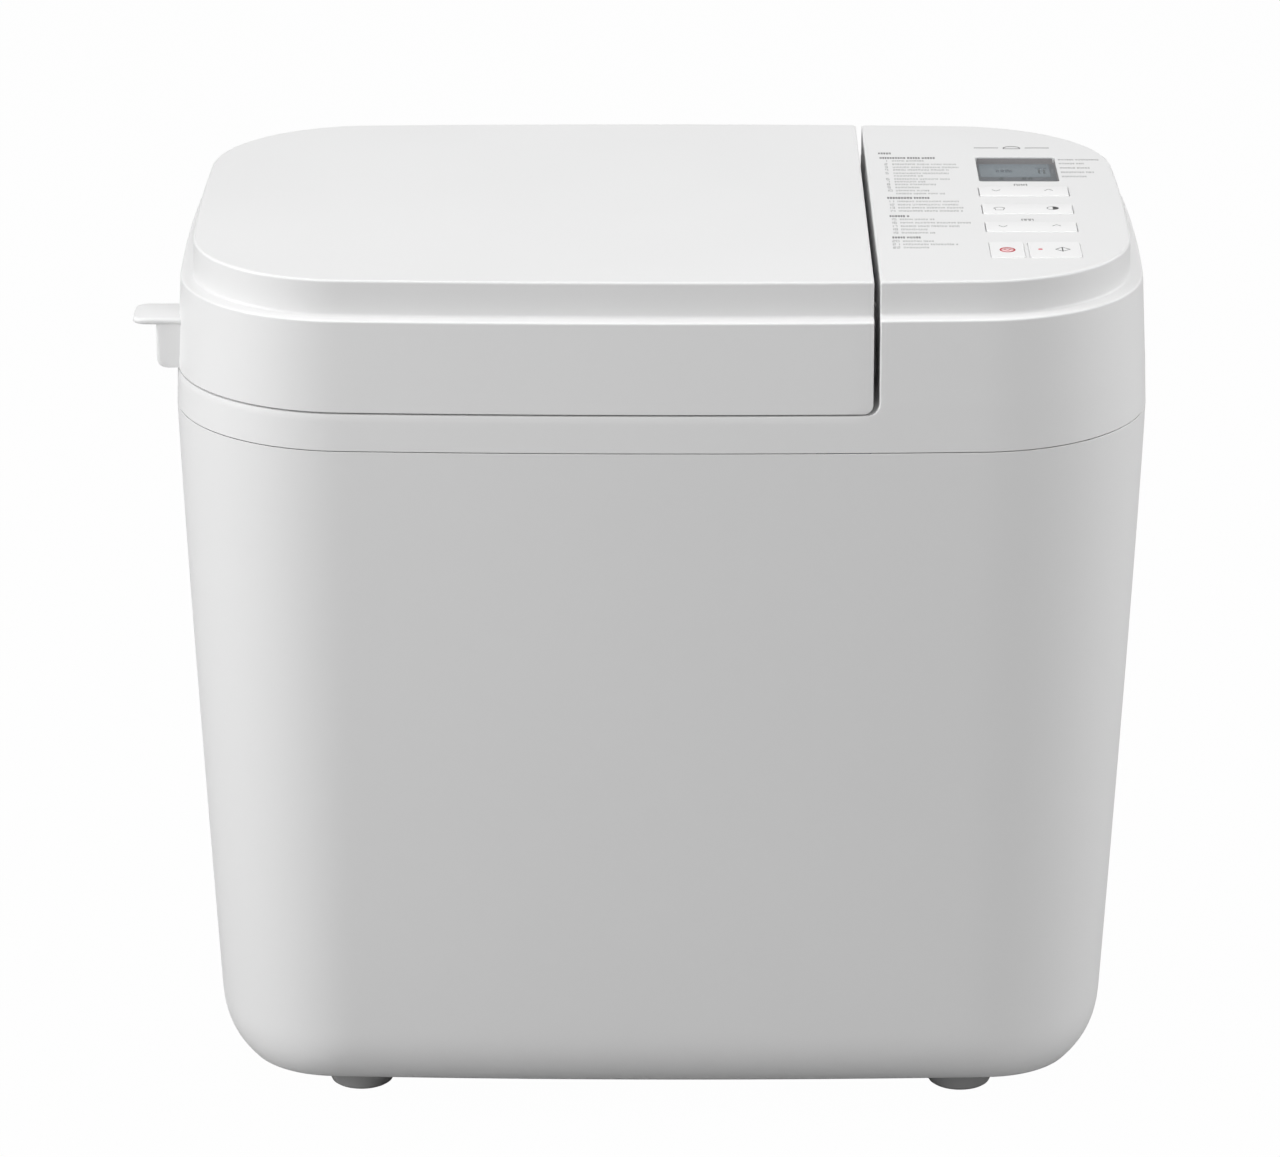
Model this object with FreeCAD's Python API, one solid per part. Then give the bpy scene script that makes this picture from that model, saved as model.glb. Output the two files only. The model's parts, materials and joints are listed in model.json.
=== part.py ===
import FreeCAD, Part
import math
import os

# Bread machine: a moulded casing that narrows towards its feet, a lid hinged beside a fixed
# control housing, a baking chamber with a lift-out pan and kneading blade, and a belt drive.
# Millimetres, +X to the right, +Y to the back, +Z up, table at Z 0.
# The pieces are drawn about the casing's centre line and are all moved by ORIGIN_SHIFT at the
# end, so that the origin is under the middle of the whole object, its side tab included.

V = FreeCAD.Vector

# ---- casing ---------------------------------------------------------------------------------
WIDTH = 393.0              # casing at the band seam, without the side tab
DEPTH = 252.0
HEIGHT = 360.0             # table to the flat top of the lid
CORNER_R = 72.0            # plan corner at the band seam
FRONT_BOW_R = 3000.0       # slight bow of the front and the back
SIDE_BOW_R = 1500.0        # slight bow of the two sides
WALL = 2.5
LID_HEIGHT = 52.0          # lid seam to lid top
BAND_HEIGHT = 16.0         # band seam to lid seam
SEAM_GAP = 0.5             # shell to band
LID_GAP = 1.0              # lid rim to deck
LEDGE_DROP = 15.0          # lid top to the ledge that runs round it
HOUSING_LEDGE_RISE = 0.7   # the housing's ledge stands this much higher than the lid's
BODY_TAPER = 12.0          # how far the casing has come in just above its turned-in foot
TAPER_POWER = 1.15         # above 1, so that the casing narrows a little faster lower down
FOOT_TURN = 11.0           # further inset of the turned-in bottom edge
FOOT_TURN_HEIGHT = 28.0
BAND_INSET = 0.6           # inset at the lid seam
RIM_INSET = 2.5            # inset at the ledge's outer edge
STEP_INSET = 8.0           # inset of the raised top
TOP_EDGE_R = 1.0
SPIGOT_DEPTH = 8.0         # the band's inner lip reaches this far into the shell
SPIGOT_CLEAR = 0.4
BASE_LIP = 14.0            # width of the shell's inner lip over the base plate

# ---- feet and base --------------------------------------------------------------------------
FOOT_HEIGHT = 12.0
FOOT_TOP_R = 16.5
FOOT_TREAD_R = 13.0
FOOT_EDGE_R = 1.5
FOOT_FROM_SIDE = 72.0
FOOT_FROM_FRONT = 53.0
BASE_THICKNESS = 3.0
BASE_CLEAR = 0.3
VENT_LENGTH = 40.0
VENT_WIDTH = 3.0
VENT_PITCH = 8.0
VENT_COUNT = 7
BASE_SCREW_IN = 9.0        # base screws, in from the inside of the shell

# ---- lid and control housing ----------------------------------------------------------------
HOUSING_WIDTH = 111.1      # control housing, left wall to the right side of the casing
LID_SIDE_GAP = 2.4         # open gap between lid and housing
LID_CORNER_R = 3.5         # lid's lower right edge
RECESS_CORNER_R = 5.0      # deck to housing wall
HINGE_IN = 8.0             # hinge axis, in from the lid's right face
HINGE_DOWN = 6.0           # hinge axis, down from the lid top
HINGE_Y = 80.0
POST_LENGTH = 16.0
POST_RELIEF = 1.2          # post below its eye, kept clear of the opened lid
EYE_R = 3.3
PIN_R = 1.5
PIN_CLEAR = 0.05
LUG_THICKNESS = 3.6
LUG_R = 4.0
RIB_THICKNESS = 4.0        # rib between a hinge post and the housing
RIB_DROP = 12.0            # hinge axis to the top of that rib
POST_CLEAR = 0.5
LINER_LIFT = 1.0           # liner flange above the lid's rim
LINER_THICKNESS = 1.0
LINER_CEILING = 21.0       # lid top down to the liner's raised middle
LINER_VENT_R = 2.0
LINER_VENT_PITCH = 9.0
LID_BOSS_R = 4.5
GASKET_WIDTH = 4.0
GASKET_CLEAR = 0.4
HANDLE_REACH = 15.5        # side tab, out from the casing
HANDLE_PLATE = 6.0
HANDLE_LENGTH = 22.0
HANDLE_FRONT = 60.0        # tab's front end, in from the front of the casing
HANDLE_HEIGHT = 21.0
TAB_THICKNESS = 2.6
HANDLE_EDGE_R = 1.2
STEAM_SLOTS = 7
STEAM_SLOT_PITCH = 7.0
STEAM_SLOT_WIDTH = 2.4
STEAM_SLOT_HEIGHT = 14.0
STEAM_FLANGE = 1.4

# ---- baking chamber -------------------------------------------------------------------------
CHAMBER_FLOOR_Z = 95.0
CHAMBER_WALL = 1.0
CHAMBER_CORNER_R = 30.0
CHAMBER_LEFT = 26.5        # chamber's outside to the casing's left side
CHAMBER_RIGHT = 41.0       # chamber's outside to the lid's right face
CHAMBER_FRONT = 39.0       # chamber's outside to the casing's front
CHAMBER_FLANGE = 10.0
DECK_OVERHANG = 1.0        # the deck's opening is this much smaller than the chamber
HEATER_R = 3.2
HEATER_Z = 17.0            # above the chamber floor
HEATER_IN_X = 7.0
HEATER_IN_Y = 10.0
HEATER_LEADS = 14.0        # half the distance between the two leads
HEATER_BEND_R = 10.0
BUSHING_R = 6.0
BUSHING_LENGTH = 9.0
SENSOR_R = 3.0
SENSOR_UP = 85.0           # above the chamber floor

# ---- pan, bail and blade --------------------------------------------------------------------
PAN_SPACE_X = 25.0         # chamber's inside to the pan's rim
PAN_SPACE_Y = 24.0
PAN_RIM_DROP = 49.5        # deck's underside to the pan's rim
PAN_FLOOR_RISE = 23.0      # chamber floor's top to the pan floor's underside
PAN_WALL = 1.8
PAN_LIP = 2.0
PAN_TAPER = 5.0
PAN_CORNER_R = 28.0
BASE_RING_IN = 6.0         # pan floor's half width to the base ring's outside
BASE_RING_WALL = 4.0
BASE_RING_GAP = 2.0        # base ring above the chamber floor
SEAT_CLEAR = 0.6
SEAT_WALL = 2.4
SEAT_HEIGHT = 14.0
SEAT_FLANGE = 6.0
BAIL_R = 2.5
BAIL_CLEAR = 0.5
BAIL_DROP = 6.0            # pan rim to the bail's pivot
BAIL_PAST_RIM = 10.0       # bail's grip beyond the pan's long side
BAIL_BEND_R = 14.0
BAIL_PIN_R = 2.0
EAR_R = 5.5
PAN_BUSH_R = 9.0
PAN_SEAL_THICKNESS = 2.0
SHAFT_R = 4.0
SHAFT_CLEAR = 0.05
SHAFT_FLAT = 3.2           # shaft's axis to its flat
SHAFT_ABOVE_FLOOR = 30.0
BLADE_TIP_CLEAR = 14.0     # blade's tip to the pan's floor corner
BLADE_HEIGHT = 36.0
BLADE_THICKNESS = 5.0
BLADE_HUB_R = 9.0
BLADE_CLEAR = 0.10

# ---- drive ----------------------------------------------------------------------------------
COUPLING_R = 13.0
COUPLING_PRONG_IN = 6.8
COUPLING_PRONG_WIDTH = 5.0
COUPLING_OVERLAP = 7.5
COUPLING_TIP_GAP = 0.6
COUPLING_HUB = 3.4
DRIVE_FLOOR_GAP = 1.6      # drive coupling above the chamber floor
BUSH_WALL = 2.5
BUSH_LENGTH = 12.0
CLIP_THICKNESS = 1.2
HOUSING_BARREL_R = 12.0
HOUSING_FLANGE_R = 30.0
HOUSING_FLANGE = 4.0
HOUSING_SCREW_OUT = 15.0
CHASSIS_Z = 78.0
CHASSIS_THICKNESS = 2.0
CHASSIS_EDGE = 20.0        # chassis plate, in from the casing
CHASSIS_POST_R = 6.0
CHASSIS_POST_IN = 50.0
PULLEY_R = 42.0
PULLEY_Z = 46.0
PULLEY_WIDTH = 12.0
PULLEY_WEB = 4.0
PULLEY_HUB_R = 11.0
PULLEY_RIM = 4.0
PULLEY_HOLES = 6
PULLEY_HOLE_R = 7.0
MOTOR_PULLEY_R = 8.0
MOTOR_PULLEY_FLANGE = 3.5
BELT_WIDTH = 9.0
BELT_THICKNESS = 2.0
BELT_CLEAR = 0.3
MOTOR_R = 36.0
MOTOR_HEIGHT = 84.0
MOTOR_FROM_SIDE = 71.5     # motor's axis to the casing's right side
MOTOR_WALL = 3.0
MOTOR_FLANGE = 5.0
MOTOR_SHAFT_R = 3.0
MOTOR_NOSE_R = 12.0        # bearing housing on top of the motor
MOTOR_NOSE = 6.0

# ---- electrics ------------------------------------------------------------------------------
SHIELD_GAP = 16.0          # chamber's outside to the heat shield
SHIELD_THICKNESS = 0.8
BOARD_THICKNESS = 1.6
POWER_BOARD_HEIGHT = 95.0
POWER_BOARD_WIDTH = 110.0
BOARD_STANDOFF = 7.0
CONTROL_BOARD_DROP = 24.0  # lid top to the control board's underside
CONTROL_BOARD_WIDTH = 62.0
CONTROL_BOARD_LENGTH = 170.0
CARRIER_DROP = 10.0        # lid top to the key carrier's underside
CARRIER_THICKNESS = 2.0
SWITCH_HEIGHT = 5.4
SWITCH_BODY = 6.0
SWITCH_BODY_HEIGHT = 3.6
SWITCH_PLUNGER_R = 1.7
TRANSFORMER_CORE = (22.0, 36.0, 30.0)   # out from the board, along Y, up
TRANSFORMER_COIL = (24.0, 24.0, 40.0)
TRANSFORMER_Y = -30.0
TRANSFORMER_UP = 45.0      # board's lower edge to the transformer's middle
RELAY = (16.0, 16.0, 20.0)
RELAY_PITCH = 22.0
RELAY_Y = 16.0             # first relay's middle
RELAY_UP = 12.0
CAPACITOR_R = 6.0
CAPACITOR_LENGTH = 20.0
CAPACITOR_PITCH = 18.0
CAPACITOR_Y = 12.0
CAPACITOR_UP = 62.0
GLAND_X = 92.0
GLAND_Z = 42.0
GLAND_HALF = 7.0           # half the side of the square gland hole
GLAND_BORE_R = 3.6
GLAND_FLANGE = 2.5
GLAND_FLANGE_R = 11.0
GLAND_FIT = 0.1
GLAND_TAIL = 6.0           # round ends beyond the inner and the outer flange
SCREW_R = 1.45
SCREW_HOLE_CLEAR = 0.15
SCREW_HEAD_R = 3.0
SCREW_HEAD = 2.0

# ---- control panel: sizes and places, X from the housing's left wall -------------------------
KEY_CLEAR = 0.4
KEY_PROUD = 0.3
KEY_FLANGE = 0.8
KEY_FLANGE_DROP = 3.3      # lid top to the key flange's top
KEY_CORNER_R = 1.2
KEY_STEM_R = 1.6
KEY_TRAVEL = 0.6
STEM_CLEAR = 0.05          # pressed stem to its switch
ROCKER_TILT = 1.2          # degrees each way
ROCKER_UNDER = 5.5         # lid top to the underside of a rocker
PIVOT_R = 0.8              # round edge that a rocker tilts on
PIVOT_CLEAR = 0.05
WINDOW = (45.9, 79.1, 28.0, 65.5)
ROCKERS = {
    "rocker_menu": (45.1, 81.6, 5.3, 19.7),
    "rocker_size": (45.1, 81.6, -20.8, -6.4),
    "rocker_timer": (45.1, 81.6, -47.0, -32.6),
}
KEYS = {
    "stop_key": (45.1, 58.6, -83.5, -61.5),
    "start_key": (60.5, 81.1, -83.5, -61.5),
}
ROCKER_STEM = 11.0         # switch stems, each side of the pivot line
LAMP_IN = 4.5              # lamp's axis from the start key's left end
LAMP_R = 1.3
LAMP_CLEAR = 0.5
START_STEM_SHIFT = 3.0     # start key's stem, right of the key's middle, clear of the lamp
CARRIER_BOSS_R = 4.0

# ---- derived places -------------------------------------------------------------------------
HALF_W = WIDTH / 2
HALF_D = DEPTH / 2
ORIGIN_SHIFT = V(HANDLE_REACH / 2, 0, 0)
LID_SEAM_Z = HEIGHT - LID_HEIGHT
BAND_SEAM_Z = LID_SEAM_Z - BAND_HEIGHT
DECK_Z = LID_SEAM_Z - LID_GAP
DECK_UNDER_Z = DECK_Z - WALL
LEDGE_Z = HEIGHT - LEDGE_DROP
TOP_UNDER_Z = HEIGHT - WALL
HOUSING_X = HALF_W - HOUSING_WIDTH
LID_X = HOUSING_X - LID_SIDE_GAP
HINGE_X = LID_X - HINGE_IN
HINGE_Z = HEIGHT - HINGE_DOWN
CHAMBER_X0 = -HALF_W + CHAMBER_LEFT
CHAMBER_X1 = LID_X - CHAMBER_RIGHT
CHAMBER_X = (CHAMBER_X0 + CHAMBER_X1) / 2
CHAMBER_HX = (CHAMBER_X1 - CHAMBER_X0) / 2 - CHAMBER_WALL
CHAMBER_HY = HALF_D - CHAMBER_FRONT - CHAMBER_WALL
CHAMBER_TOP_FLOOR = CHAMBER_FLOOR_Z + CHAMBER_WALL
PAN_HX = CHAMBER_HX - PAN_SPACE_X
PAN_HY = CHAMBER_HY - PAN_SPACE_Y
PAN_RIM_Z = DECK_UNDER_Z - PAN_RIM_DROP
PAN_UNDER_Z = CHAMBER_TOP_FLOOR + PAN_FLOOR_RISE
PAN_FLOOR_Z = PAN_UNDER_Z + PAN_WALL
BASE_RING_R = PAN_HY - PAN_TAPER - BASE_RING_IN
BAIL_Z = PAN_RIM_Z - BAIL_DROP
BAIL_HX = PAN_HX + PAN_LIP + BAIL_CLEAR + BAIL_R
BAIL_ARM = PAN_HY + PAN_LIP + BAIL_PAST_RIM
MOTOR_X = HALF_W - MOTOR_FROM_SIDE
SHIELD_X = CHAMBER_X1 + SHIELD_GAP
CONTROL_BOARD_Z = HEIGHT - CONTROL_BOARD_DROP
KEY_CARRIER_TOP = HEIGHT - CARRIER_DROP + CARRIER_THICKNESS
KEY_TOP_Z = HEIGHT + KEY_PROUD
KEY_FLANGE_Z = HEIGHT - KEY_FLANGE_DROP
SWITCH_TOP_Z = CONTROL_BOARD_Z + BOARD_THICKNESS + SWITCH_HEIGHT
KEY_UNDER_Z = HEIGHT - ROCKER_UNDER
PIVOT_Z = KEY_UNDER_Z - PIVOT_R
COUPLING_FACE_Z = CHAMBER_TOP_FLOOR + DRIVE_FLOOR_GAP + COUPLING_HUB
PAN_COUPLING_Z = COUPLING_FACE_Z + COUPLING_OVERLAP + COUPLING_TIP_GAP
GLAND_Y = HALF_D

nodes = {}


# ---- plain shapes ---------------------------------------------------------------------------
def box(x0, x1, y0, y1, z0, z1):
    return Part.makeBox(x1 - x0, y1 - y0, z1 - z0, V(x0, y0, z0))


def rod(radius, x, y, z0, z1):
    return Part.makeCylinder(radius, z1 - z0, V(x, y, z0))


def rod_x(radius, x0, x1, y, z):
    return Part.makeCylinder(radius, x1 - x0, V(x0, y, z), V(1, 0, 0))


def rod_y(radius, x, y0, y1, z):
    return Part.makeCylinder(radius, y1 - y0, V(x, y0, z), V(0, 1, 0))


def tube(outer, inner, x, y, z0, z1):
    return rod(outer, x, y, z0, z1).cut(rod(inner, x, y, z0 - 1, z1 + 1))


def slab(wire, z0, z1):
    """Prism between two heights, from a wire drawn at Z 0."""
    face = Part.Face(wire)
    face.translate(V(0, 0, z0))
    return face.extrude(V(0, 0, z1 - z0))


def joined(shapes):
    """One solid from shapes that overlap."""
    shapes = list(shapes)
    return shapes[0].multiFuse(shapes[1:]).removeSplitter() if len(shapes) > 1 else shapes[0]


def group(shapes):
    """Separate solids in one node."""
    return Part.makeCompound(list(shapes))


def arcs(points):
    """Closed wire of three-point arcs; every second point is an arc's middle."""
    ends = points + points[:1]
    spans = range(0, len(points), 2)
    return Part.Wire([Part.Arc(*ends[i:i + 3]).toShape() for i in spans])


def rounded(cx, cy, hx, hy, r):
    """Closed rectangular wire with round corners, at Z 0."""
    quads = [(1, 1, 0), (-1, 1, 90), (-1, -1, 180), (1, -1, 270)]
    edges = []
    ends = []
    for sx, sy, start in quads:
        centre = V(cx + sx * (hx - r), cy + sy * (hy - r), 0)
        trio = []
        for turn in (0, 45, 90):
            angle = math.radians(start + turn)
            trio.append(centre + V(r * math.cos(angle), r * math.sin(angle), 0))
        edges.append(Part.Arc(*trio).toShape())
        ends.append((trio[0], trio[2]))
    for i in range(4):
        edges.append(Part.makeLine(ends[i][1], ends[(i + 1) % 4][0]))
    return Part.Wire(Part.__sortEdges__(edges))


def lifted(wire, z):
    copy = wire.copy()
    copy.translate(V(0, 0, z))
    return copy


def bent_path(points, radius):
    """Open wire through corner points, each corner turned by a tangent arc."""
    edges = []
    last = points[0]
    for before, corner, after in zip(points, points[1:], points[2:]):
        back = (before - corner).normalize()
        ahead = (after - corner).normalize()
        half = back.getAngle(ahead) / 2
        reach = radius / math.tan(half)
        start = corner + back * reach
        end = corner + ahead * reach
        middle = corner + (back + ahead).normalize() * (radius / math.sin(half) - radius)
        edges.append(Part.makeLine(last, start))
        edges.append(Part.Arc(start, middle, end).toShape())
        last = end
    edges.append(Part.makeLine(last, points[-1]))
    return Part.Wire(edges)


def swept(path, radius):
    """Round bar along a path."""
    start = path.Edges[0].valueAt(path.Edges[0].FirstParameter)
    along = path.Edges[0].tangentAt(path.Edges[0].FirstParameter)
    ring = Part.Wire([Part.makeCircle(radius, start, along)])
    return path.makePipeShell([ring], True, False)


def screw(x, y, z0, z1, head_up):
    """Pan-head screw; z0 and z1 are the ends of its shank."""
    head_z = z1 if head_up else z0 - SCREW_HEAD
    return rod(SCREW_R, x, y, z0, z1).fuse(rod(SCREW_HEAD_R, x, y, head_z, head_z + SCREW_HEAD))


def screw_hole(x, y, z0, z1):
    return rod(SCREW_R + SCREW_HOLE_CLEAR, x, y, z0, z1)


# ---- the casing's outline -------------------------------------------------------------------
def corner_centre():
    """Centre of the plan corner that is tangent inside the side bow and the front bow."""
    side = V(HALF_W - SIDE_BOW_R, 0, 0)
    front = V(0, HALF_D - FRONT_BOW_R, 0)
    from_side = SIDE_BOW_R - CORNER_R
    from_front = FRONT_BOW_R - CORNER_R
    line = front - side
    span = line.Length
    along = (from_side ** 2 - from_front ** 2 + span ** 2) / (2 * span)
    off = math.sqrt(from_side ** 2 - along ** 2)
    unit = line.normalize()
    foot = side + unit * along
    normal = V(-unit.y, unit.x, 0)
    return max((foot + normal * off, foot - normal * off), key=lambda point: point.x + point.y)


def outline(inset, z=0.0):
    """Casing's plan outline, moved in by inset: four bows joined by four tangent corners."""
    centre = corner_centre()
    side = V(HALF_W - SIDE_BOW_R, 0, 0)
    front = V(0, HALF_D - FRONT_BOW_R, 0)
    to_side = (centre - side).normalize()
    to_front = (centre - front).normalize()
    on_side = side + to_side * (SIDE_BOW_R - inset)
    on_front = front + to_front * (FRONT_BOW_R - inset)
    on_corner = centre + (to_side + to_front).normalize() * (CORNER_R - inset)
    quarter = [on_side, on_corner, on_front]
    points = []
    for sx, sy in ((1, 1), (-1, 1), (-1, -1), (1, -1)):
        turned = [V(sx * p.x, sy * p.y, z) for p in quarter]
        middle = V(0, sy * (HALF_D - inset), z) if sx * sy > 0 else V(sx * (HALF_W - inset), 0, z)
        points += turned[::sx * sy] + [middle]
    return arcs(points)


def side_inset(z):
    """How far the casing's side has come in at a height."""
    if z >= LID_SEAM_Z:
        return BAND_INSET + (RIM_INSET - BAND_INSET) * (z - LID_SEAM_Z) / (LEDGE_Z - LID_SEAM_Z)
    if z >= BAND_SEAM_Z:
        return BAND_INSET * (z - BAND_SEAM_Z) / BAND_HEIGHT
    turn_z = FOOT_HEIGHT + FOOT_TURN_HEIGHT
    inset = BODY_TAPER * ((BAND_SEAM_Z - z) / (BAND_SEAM_Z - turn_z)) ** TAPER_POWER
    if z < turn_z:
        inset += FOOT_TURN * ((turn_z - z) / FOOT_TURN_HEIGHT) ** 3
    return inset


def casing_block(levels, inward=0.0):
    """Solid through the casing's outline at each height."""
    return Part.makeLoft([outline(side_inset(z) + inward, z) for z in levels], True, True)


def top_block(ledge_z, top_z, bottom_z, inward):
    """Lid or housing block: the side wall up to its ledge, and the raised top inside it."""
    low = [bottom_z, LID_SEAM_Z, ledge_z] if bottom_z < LID_SEAM_Z else [bottom_z, ledge_z]
    raised = slab(outline(STEP_INSET + inward), ledge_z - 1, top_z)
    return joined([casing_block(low, inward), raised])


def softened(shape, radius, z):
    """Rounds the outer edge of the flat top at height z."""
    edges = [edge for edge in shape.Edges if all(abs(v.Z - z) < 1e-6 for v in edge.Vertexes)]
    return shape.makeFillet(radius, edges)


def mirrored_y(y):
    return (-y, y)


def corners(hx, hy, cx=0.0, cy=0.0):
    return [(cx + sx * hx, cy + sy * hy) for sx in (-1, 1) for sy in (-1, 1)]


# ---- casing pieces --------------------------------------------------------------------------
def body_levels():
    """Heights of the body's sections: close together where the bottom edge turns in."""
    turn_z = FOOT_HEIGHT + FOOT_TURN_HEIGHT
    low = [FOOT_HEIGHT + FOOT_TURN_HEIGHT * step for step in (0.0, 0.15, 0.35, 0.65, 1.0)]
    return low + [turn_z + (BAND_SEAM_Z - turn_z) * step for step in (0.2, 0.4, 0.6, 0.8, 1.0)]


def open_wall(levels, thickness):
    """The casing's side wall alone, open at both ends, sewn from its own faces."""
    outer = Part.makeLoft([outline(side_inset(z), z) for z in levels], False, True)
    inner = Part.makeLoft([outline(side_inset(z) + thickness, z) for z in levels], False, True)
    faces = outer.Faces + [face.reversed() for face in inner.Faces]
    for z in (levels[0], levels[-1]):
        at_end = side_inset(z)
        edge = Part.Face(outline(at_end, z)).cut(Part.Face(outline(at_end + thickness, z)))
        faces += edge.Faces
    skin = Part.Shell(faces)
    skin.sewShape(1e-3)
    skin.fix(1e-4, 1e-4, 1e-3)
    wall = Part.Solid(skin)
    wall.fix(1e-4, 1e-4, 1e-3)
    return wall


def make_body_shell():
    shell = open_wall(body_levels(), WALL)
    lip_z = FOOT_HEIGHT + BASE_THICKNESS
    at_lip = side_inset(lip_z)
    lip = slab(outline(at_lip + WALL / 2 + 0.6), lip_z, lip_z + WALL)
    lip = lip.cut(slab(outline(at_lip + WALL + BASE_LIP), lip_z - 1, lip_z + WALL + 1))
    shell = joined([shell, lip])
    for x, y in base_screw_places():
        shell = shell.cut(screw_hole(x, y, lip_z - 1, lip_z + WALL + 1))
    return shell.cut(gland_block(GLAND_HALF, GLAND_Y - 40, GLAND_Y))


def base_half():
    at_base = side_inset(FOOT_HEIGHT + BASE_THICKNESS / 2)
    return HALF_W - at_base - WALL, HALF_D - at_base - WALL


def base_screw_places():
    half_x, half_y = base_half()
    return [(0, BASE_SCREW_IN - half_y), (0, half_y - BASE_SCREW_IN),
            (BASE_SCREW_IN - half_x, 0), (half_x - BASE_SCREW_IN, 0)]


def chassis_post_places():
    return corners(HALF_W - CHASSIS_POST_IN, HALF_D - CHASSIS_POST_IN - 10)


def foot_places():
    return corners(HALF_W - FOOT_FROM_SIDE, HALF_D - FOOT_FROM_FRONT)


def make_base_plate():
    top_z = FOOT_HEIGHT + BASE_THICKNESS
    inset = side_inset(FOOT_HEIGHT) + WALL + BASE_CLEAR
    plate = slab(outline(inset), FOOT_HEIGHT, top_z)
    posts = [rod(CHASSIS_POST_R, x, y, FOOT_HEIGHT + 1, CHASSIS_Z) for x, y in chassis_post_places()]
    plate = joined([plate] + posts)
    for x, y in chassis_post_places():
        plate = plate.cut(screw_hole(x, y, CHASSIS_Z - 14, CHASSIS_Z + 1))
    for x, y in base_screw_places():
        plate = plate.cut(screw_hole(x, y, FOOT_HEIGHT - 1, top_z + 1))
    for x, y in foot_places():
        plate = plate.cut(rod(FOOT_TREAD_R / 2 + PIN_CLEAR, x, y, FOOT_HEIGHT - 1, top_z + 1))
    first = MOTOR_X - 5 - VENT_PITCH * (VENT_COUNT - 1) / 2
    for i in range(VENT_COUNT):
        x = first + i * VENT_PITCH
        vent = rounded(x, 0, VENT_WIDTH / 2, VENT_LENGTH / 2, VENT_WIDTH / 2 - 0.01)
        plate = plate.cut(slab(vent, FOOT_HEIGHT - 1, top_z + 1))
    return plate


def make_foot(x, y):
    cone = Part.makeCone(FOOT_TREAD_R, FOOT_TOP_R, FOOT_HEIGHT, V(x, y, 0))
    cone = cone.makeFillet(FOOT_EDGE_R, [edge for edge in cone.Edges if edge.BoundBox.ZMax < 0.01])
    stem = rod(FOOT_TREAD_R / 2, x, y, FOOT_HEIGHT - 1, FOOT_HEIGHT + BASE_THICKNESS)
    return joined([cone, stem])


def post_spans():
    return [(y - POST_LENGTH / 2, y + POST_LENGTH / 2) for y in mirrored_y(HINGE_Y)]


def make_top_frame():
    bottom = BAND_SEAM_Z + SEAM_GAP
    ledge = LEDGE_Z + HOUSING_LEDGE_RISE
    block = softened(top_block(ledge, HEIGHT, bottom, 0), TOP_EDGE_R, HEIGHT)
    recess = box(-WIDTH, HOUSING_X, -DEPTH, DEPTH, DECK_Z, HEIGHT + 10)
    low_edge = [e for e in recess.Edges
                if all(abs(v.X - HOUSING_X) < 1e-6 and abs(v.Z - DECK_Z) < 1e-6 for v in e.Vertexes)]
    block = block.cut(recess.makeFillet(RECESS_CORNER_R, low_edge))
    hollow = top_block(ledge - WALL, TOP_UNDER_Z, bottom - 1, WALL)
    left = hollow.common(box(-WIDTH, HOUSING_X + WALL, -DEPTH, DEPTH, bottom - 2, DECK_UNDER_Z))
    right = hollow.common(box(HOUSING_X + WALL, WIDTH, -DEPTH, DEPTH, bottom - 2, HEIGHT))
    frame = block.cut(left).cut(right)
    in_lip = WALL + SPIGOT_CLEAR
    spigot = slab(outline(in_lip), bottom - SPIGOT_DEPTH, bottom + 1)
    spigot = spigot.fuse(slab(outline(WALL / 2), bottom, bottom + 2))
    spigot = spigot.cut(slab(outline(in_lip + WALL), bottom - SPIGOT_DEPTH - 1, bottom + 3))
    pieces = [frame, spigot]
    for y0, y1 in post_spans():
        middle = (y0 + y1) / 2
        pieces.append(box(HINGE_X - EYE_R, HINGE_X + EYE_R - POST_RELIEF, y0, y1, DECK_UNDER_Z, HINGE_Z))
        pieces.append(rod_y(EYE_R, HINGE_X, y0, y1, HINGE_Z))
        pieces.append(box(HINGE_X, HOUSING_X + 1, middle - RIB_THICKNESS / 2, middle + RIB_THICKNESS / 2,
                          DECK_Z - 1, HINGE_Z - RIB_DROP))
    frame = joined(pieces)
    for y0, y1 in post_spans():
        frame = frame.cut(rod_y(PIN_R + PIN_CLEAR, HINGE_X, y0 - 1, y1 + 1, HINGE_Z))
    opening = rounded(CHAMBER_X, 0, CHAMBER_HX - DECK_OVERHANG, CHAMBER_HY - DECK_OVERHANG,
                      CHAMBER_CORNER_R - DECK_OVERHANG)
    frame = frame.cut(slab(opening, DECK_UNDER_Z - 1, DECK_Z + 1))
    for x, y in flange_screw_places():
        frame = frame.cut(screw_hole(x, y, DECK_UNDER_Z - 1, DECK_Z - 0.6))
    for x0, x1, y0, y1 in [WINDOW] + list(ROCKERS.values()) + list(KEYS.values()):
        frame = frame.cut(panel_cut(x0, x1, y0, y1, KEY_CLEAR, HEIGHT - WALL - 1, HEIGHT + 1))
    bosses = [rod(CARRIER_BOSS_R, x, y, KEY_CARRIER_TOP, TOP_UNDER_Z + 1)
              for x, y in carrier_screw_places()]
    frame = joined([frame] + bosses)
    for x, y in carrier_screw_places():
        frame = frame.cut(screw_hole(x, y, KEY_CARRIER_TOP - 1, TOP_UNDER_Z))
    return frame


def carrier_screw_places():
    left = HOUSING_X + WINDOW[0] - 13
    right = HOUSING_X + WINDOW[1] + 11
    return [(left, -52), (left, 26), (right, -52), (right, 22)]


def panel_cut(x0, x1, y0, y1, margin, z0, z1):
    hx = (x1 - x0) / 2 + margin
    hy = (y1 - y0) / 2 + margin
    wire = rounded(HOUSING_X + (x0 + x1) / 2, (y0 + y1) / 2, hx, hy, KEY_CORNER_R + margin)
    return slab(wire, z0, z1)


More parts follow.
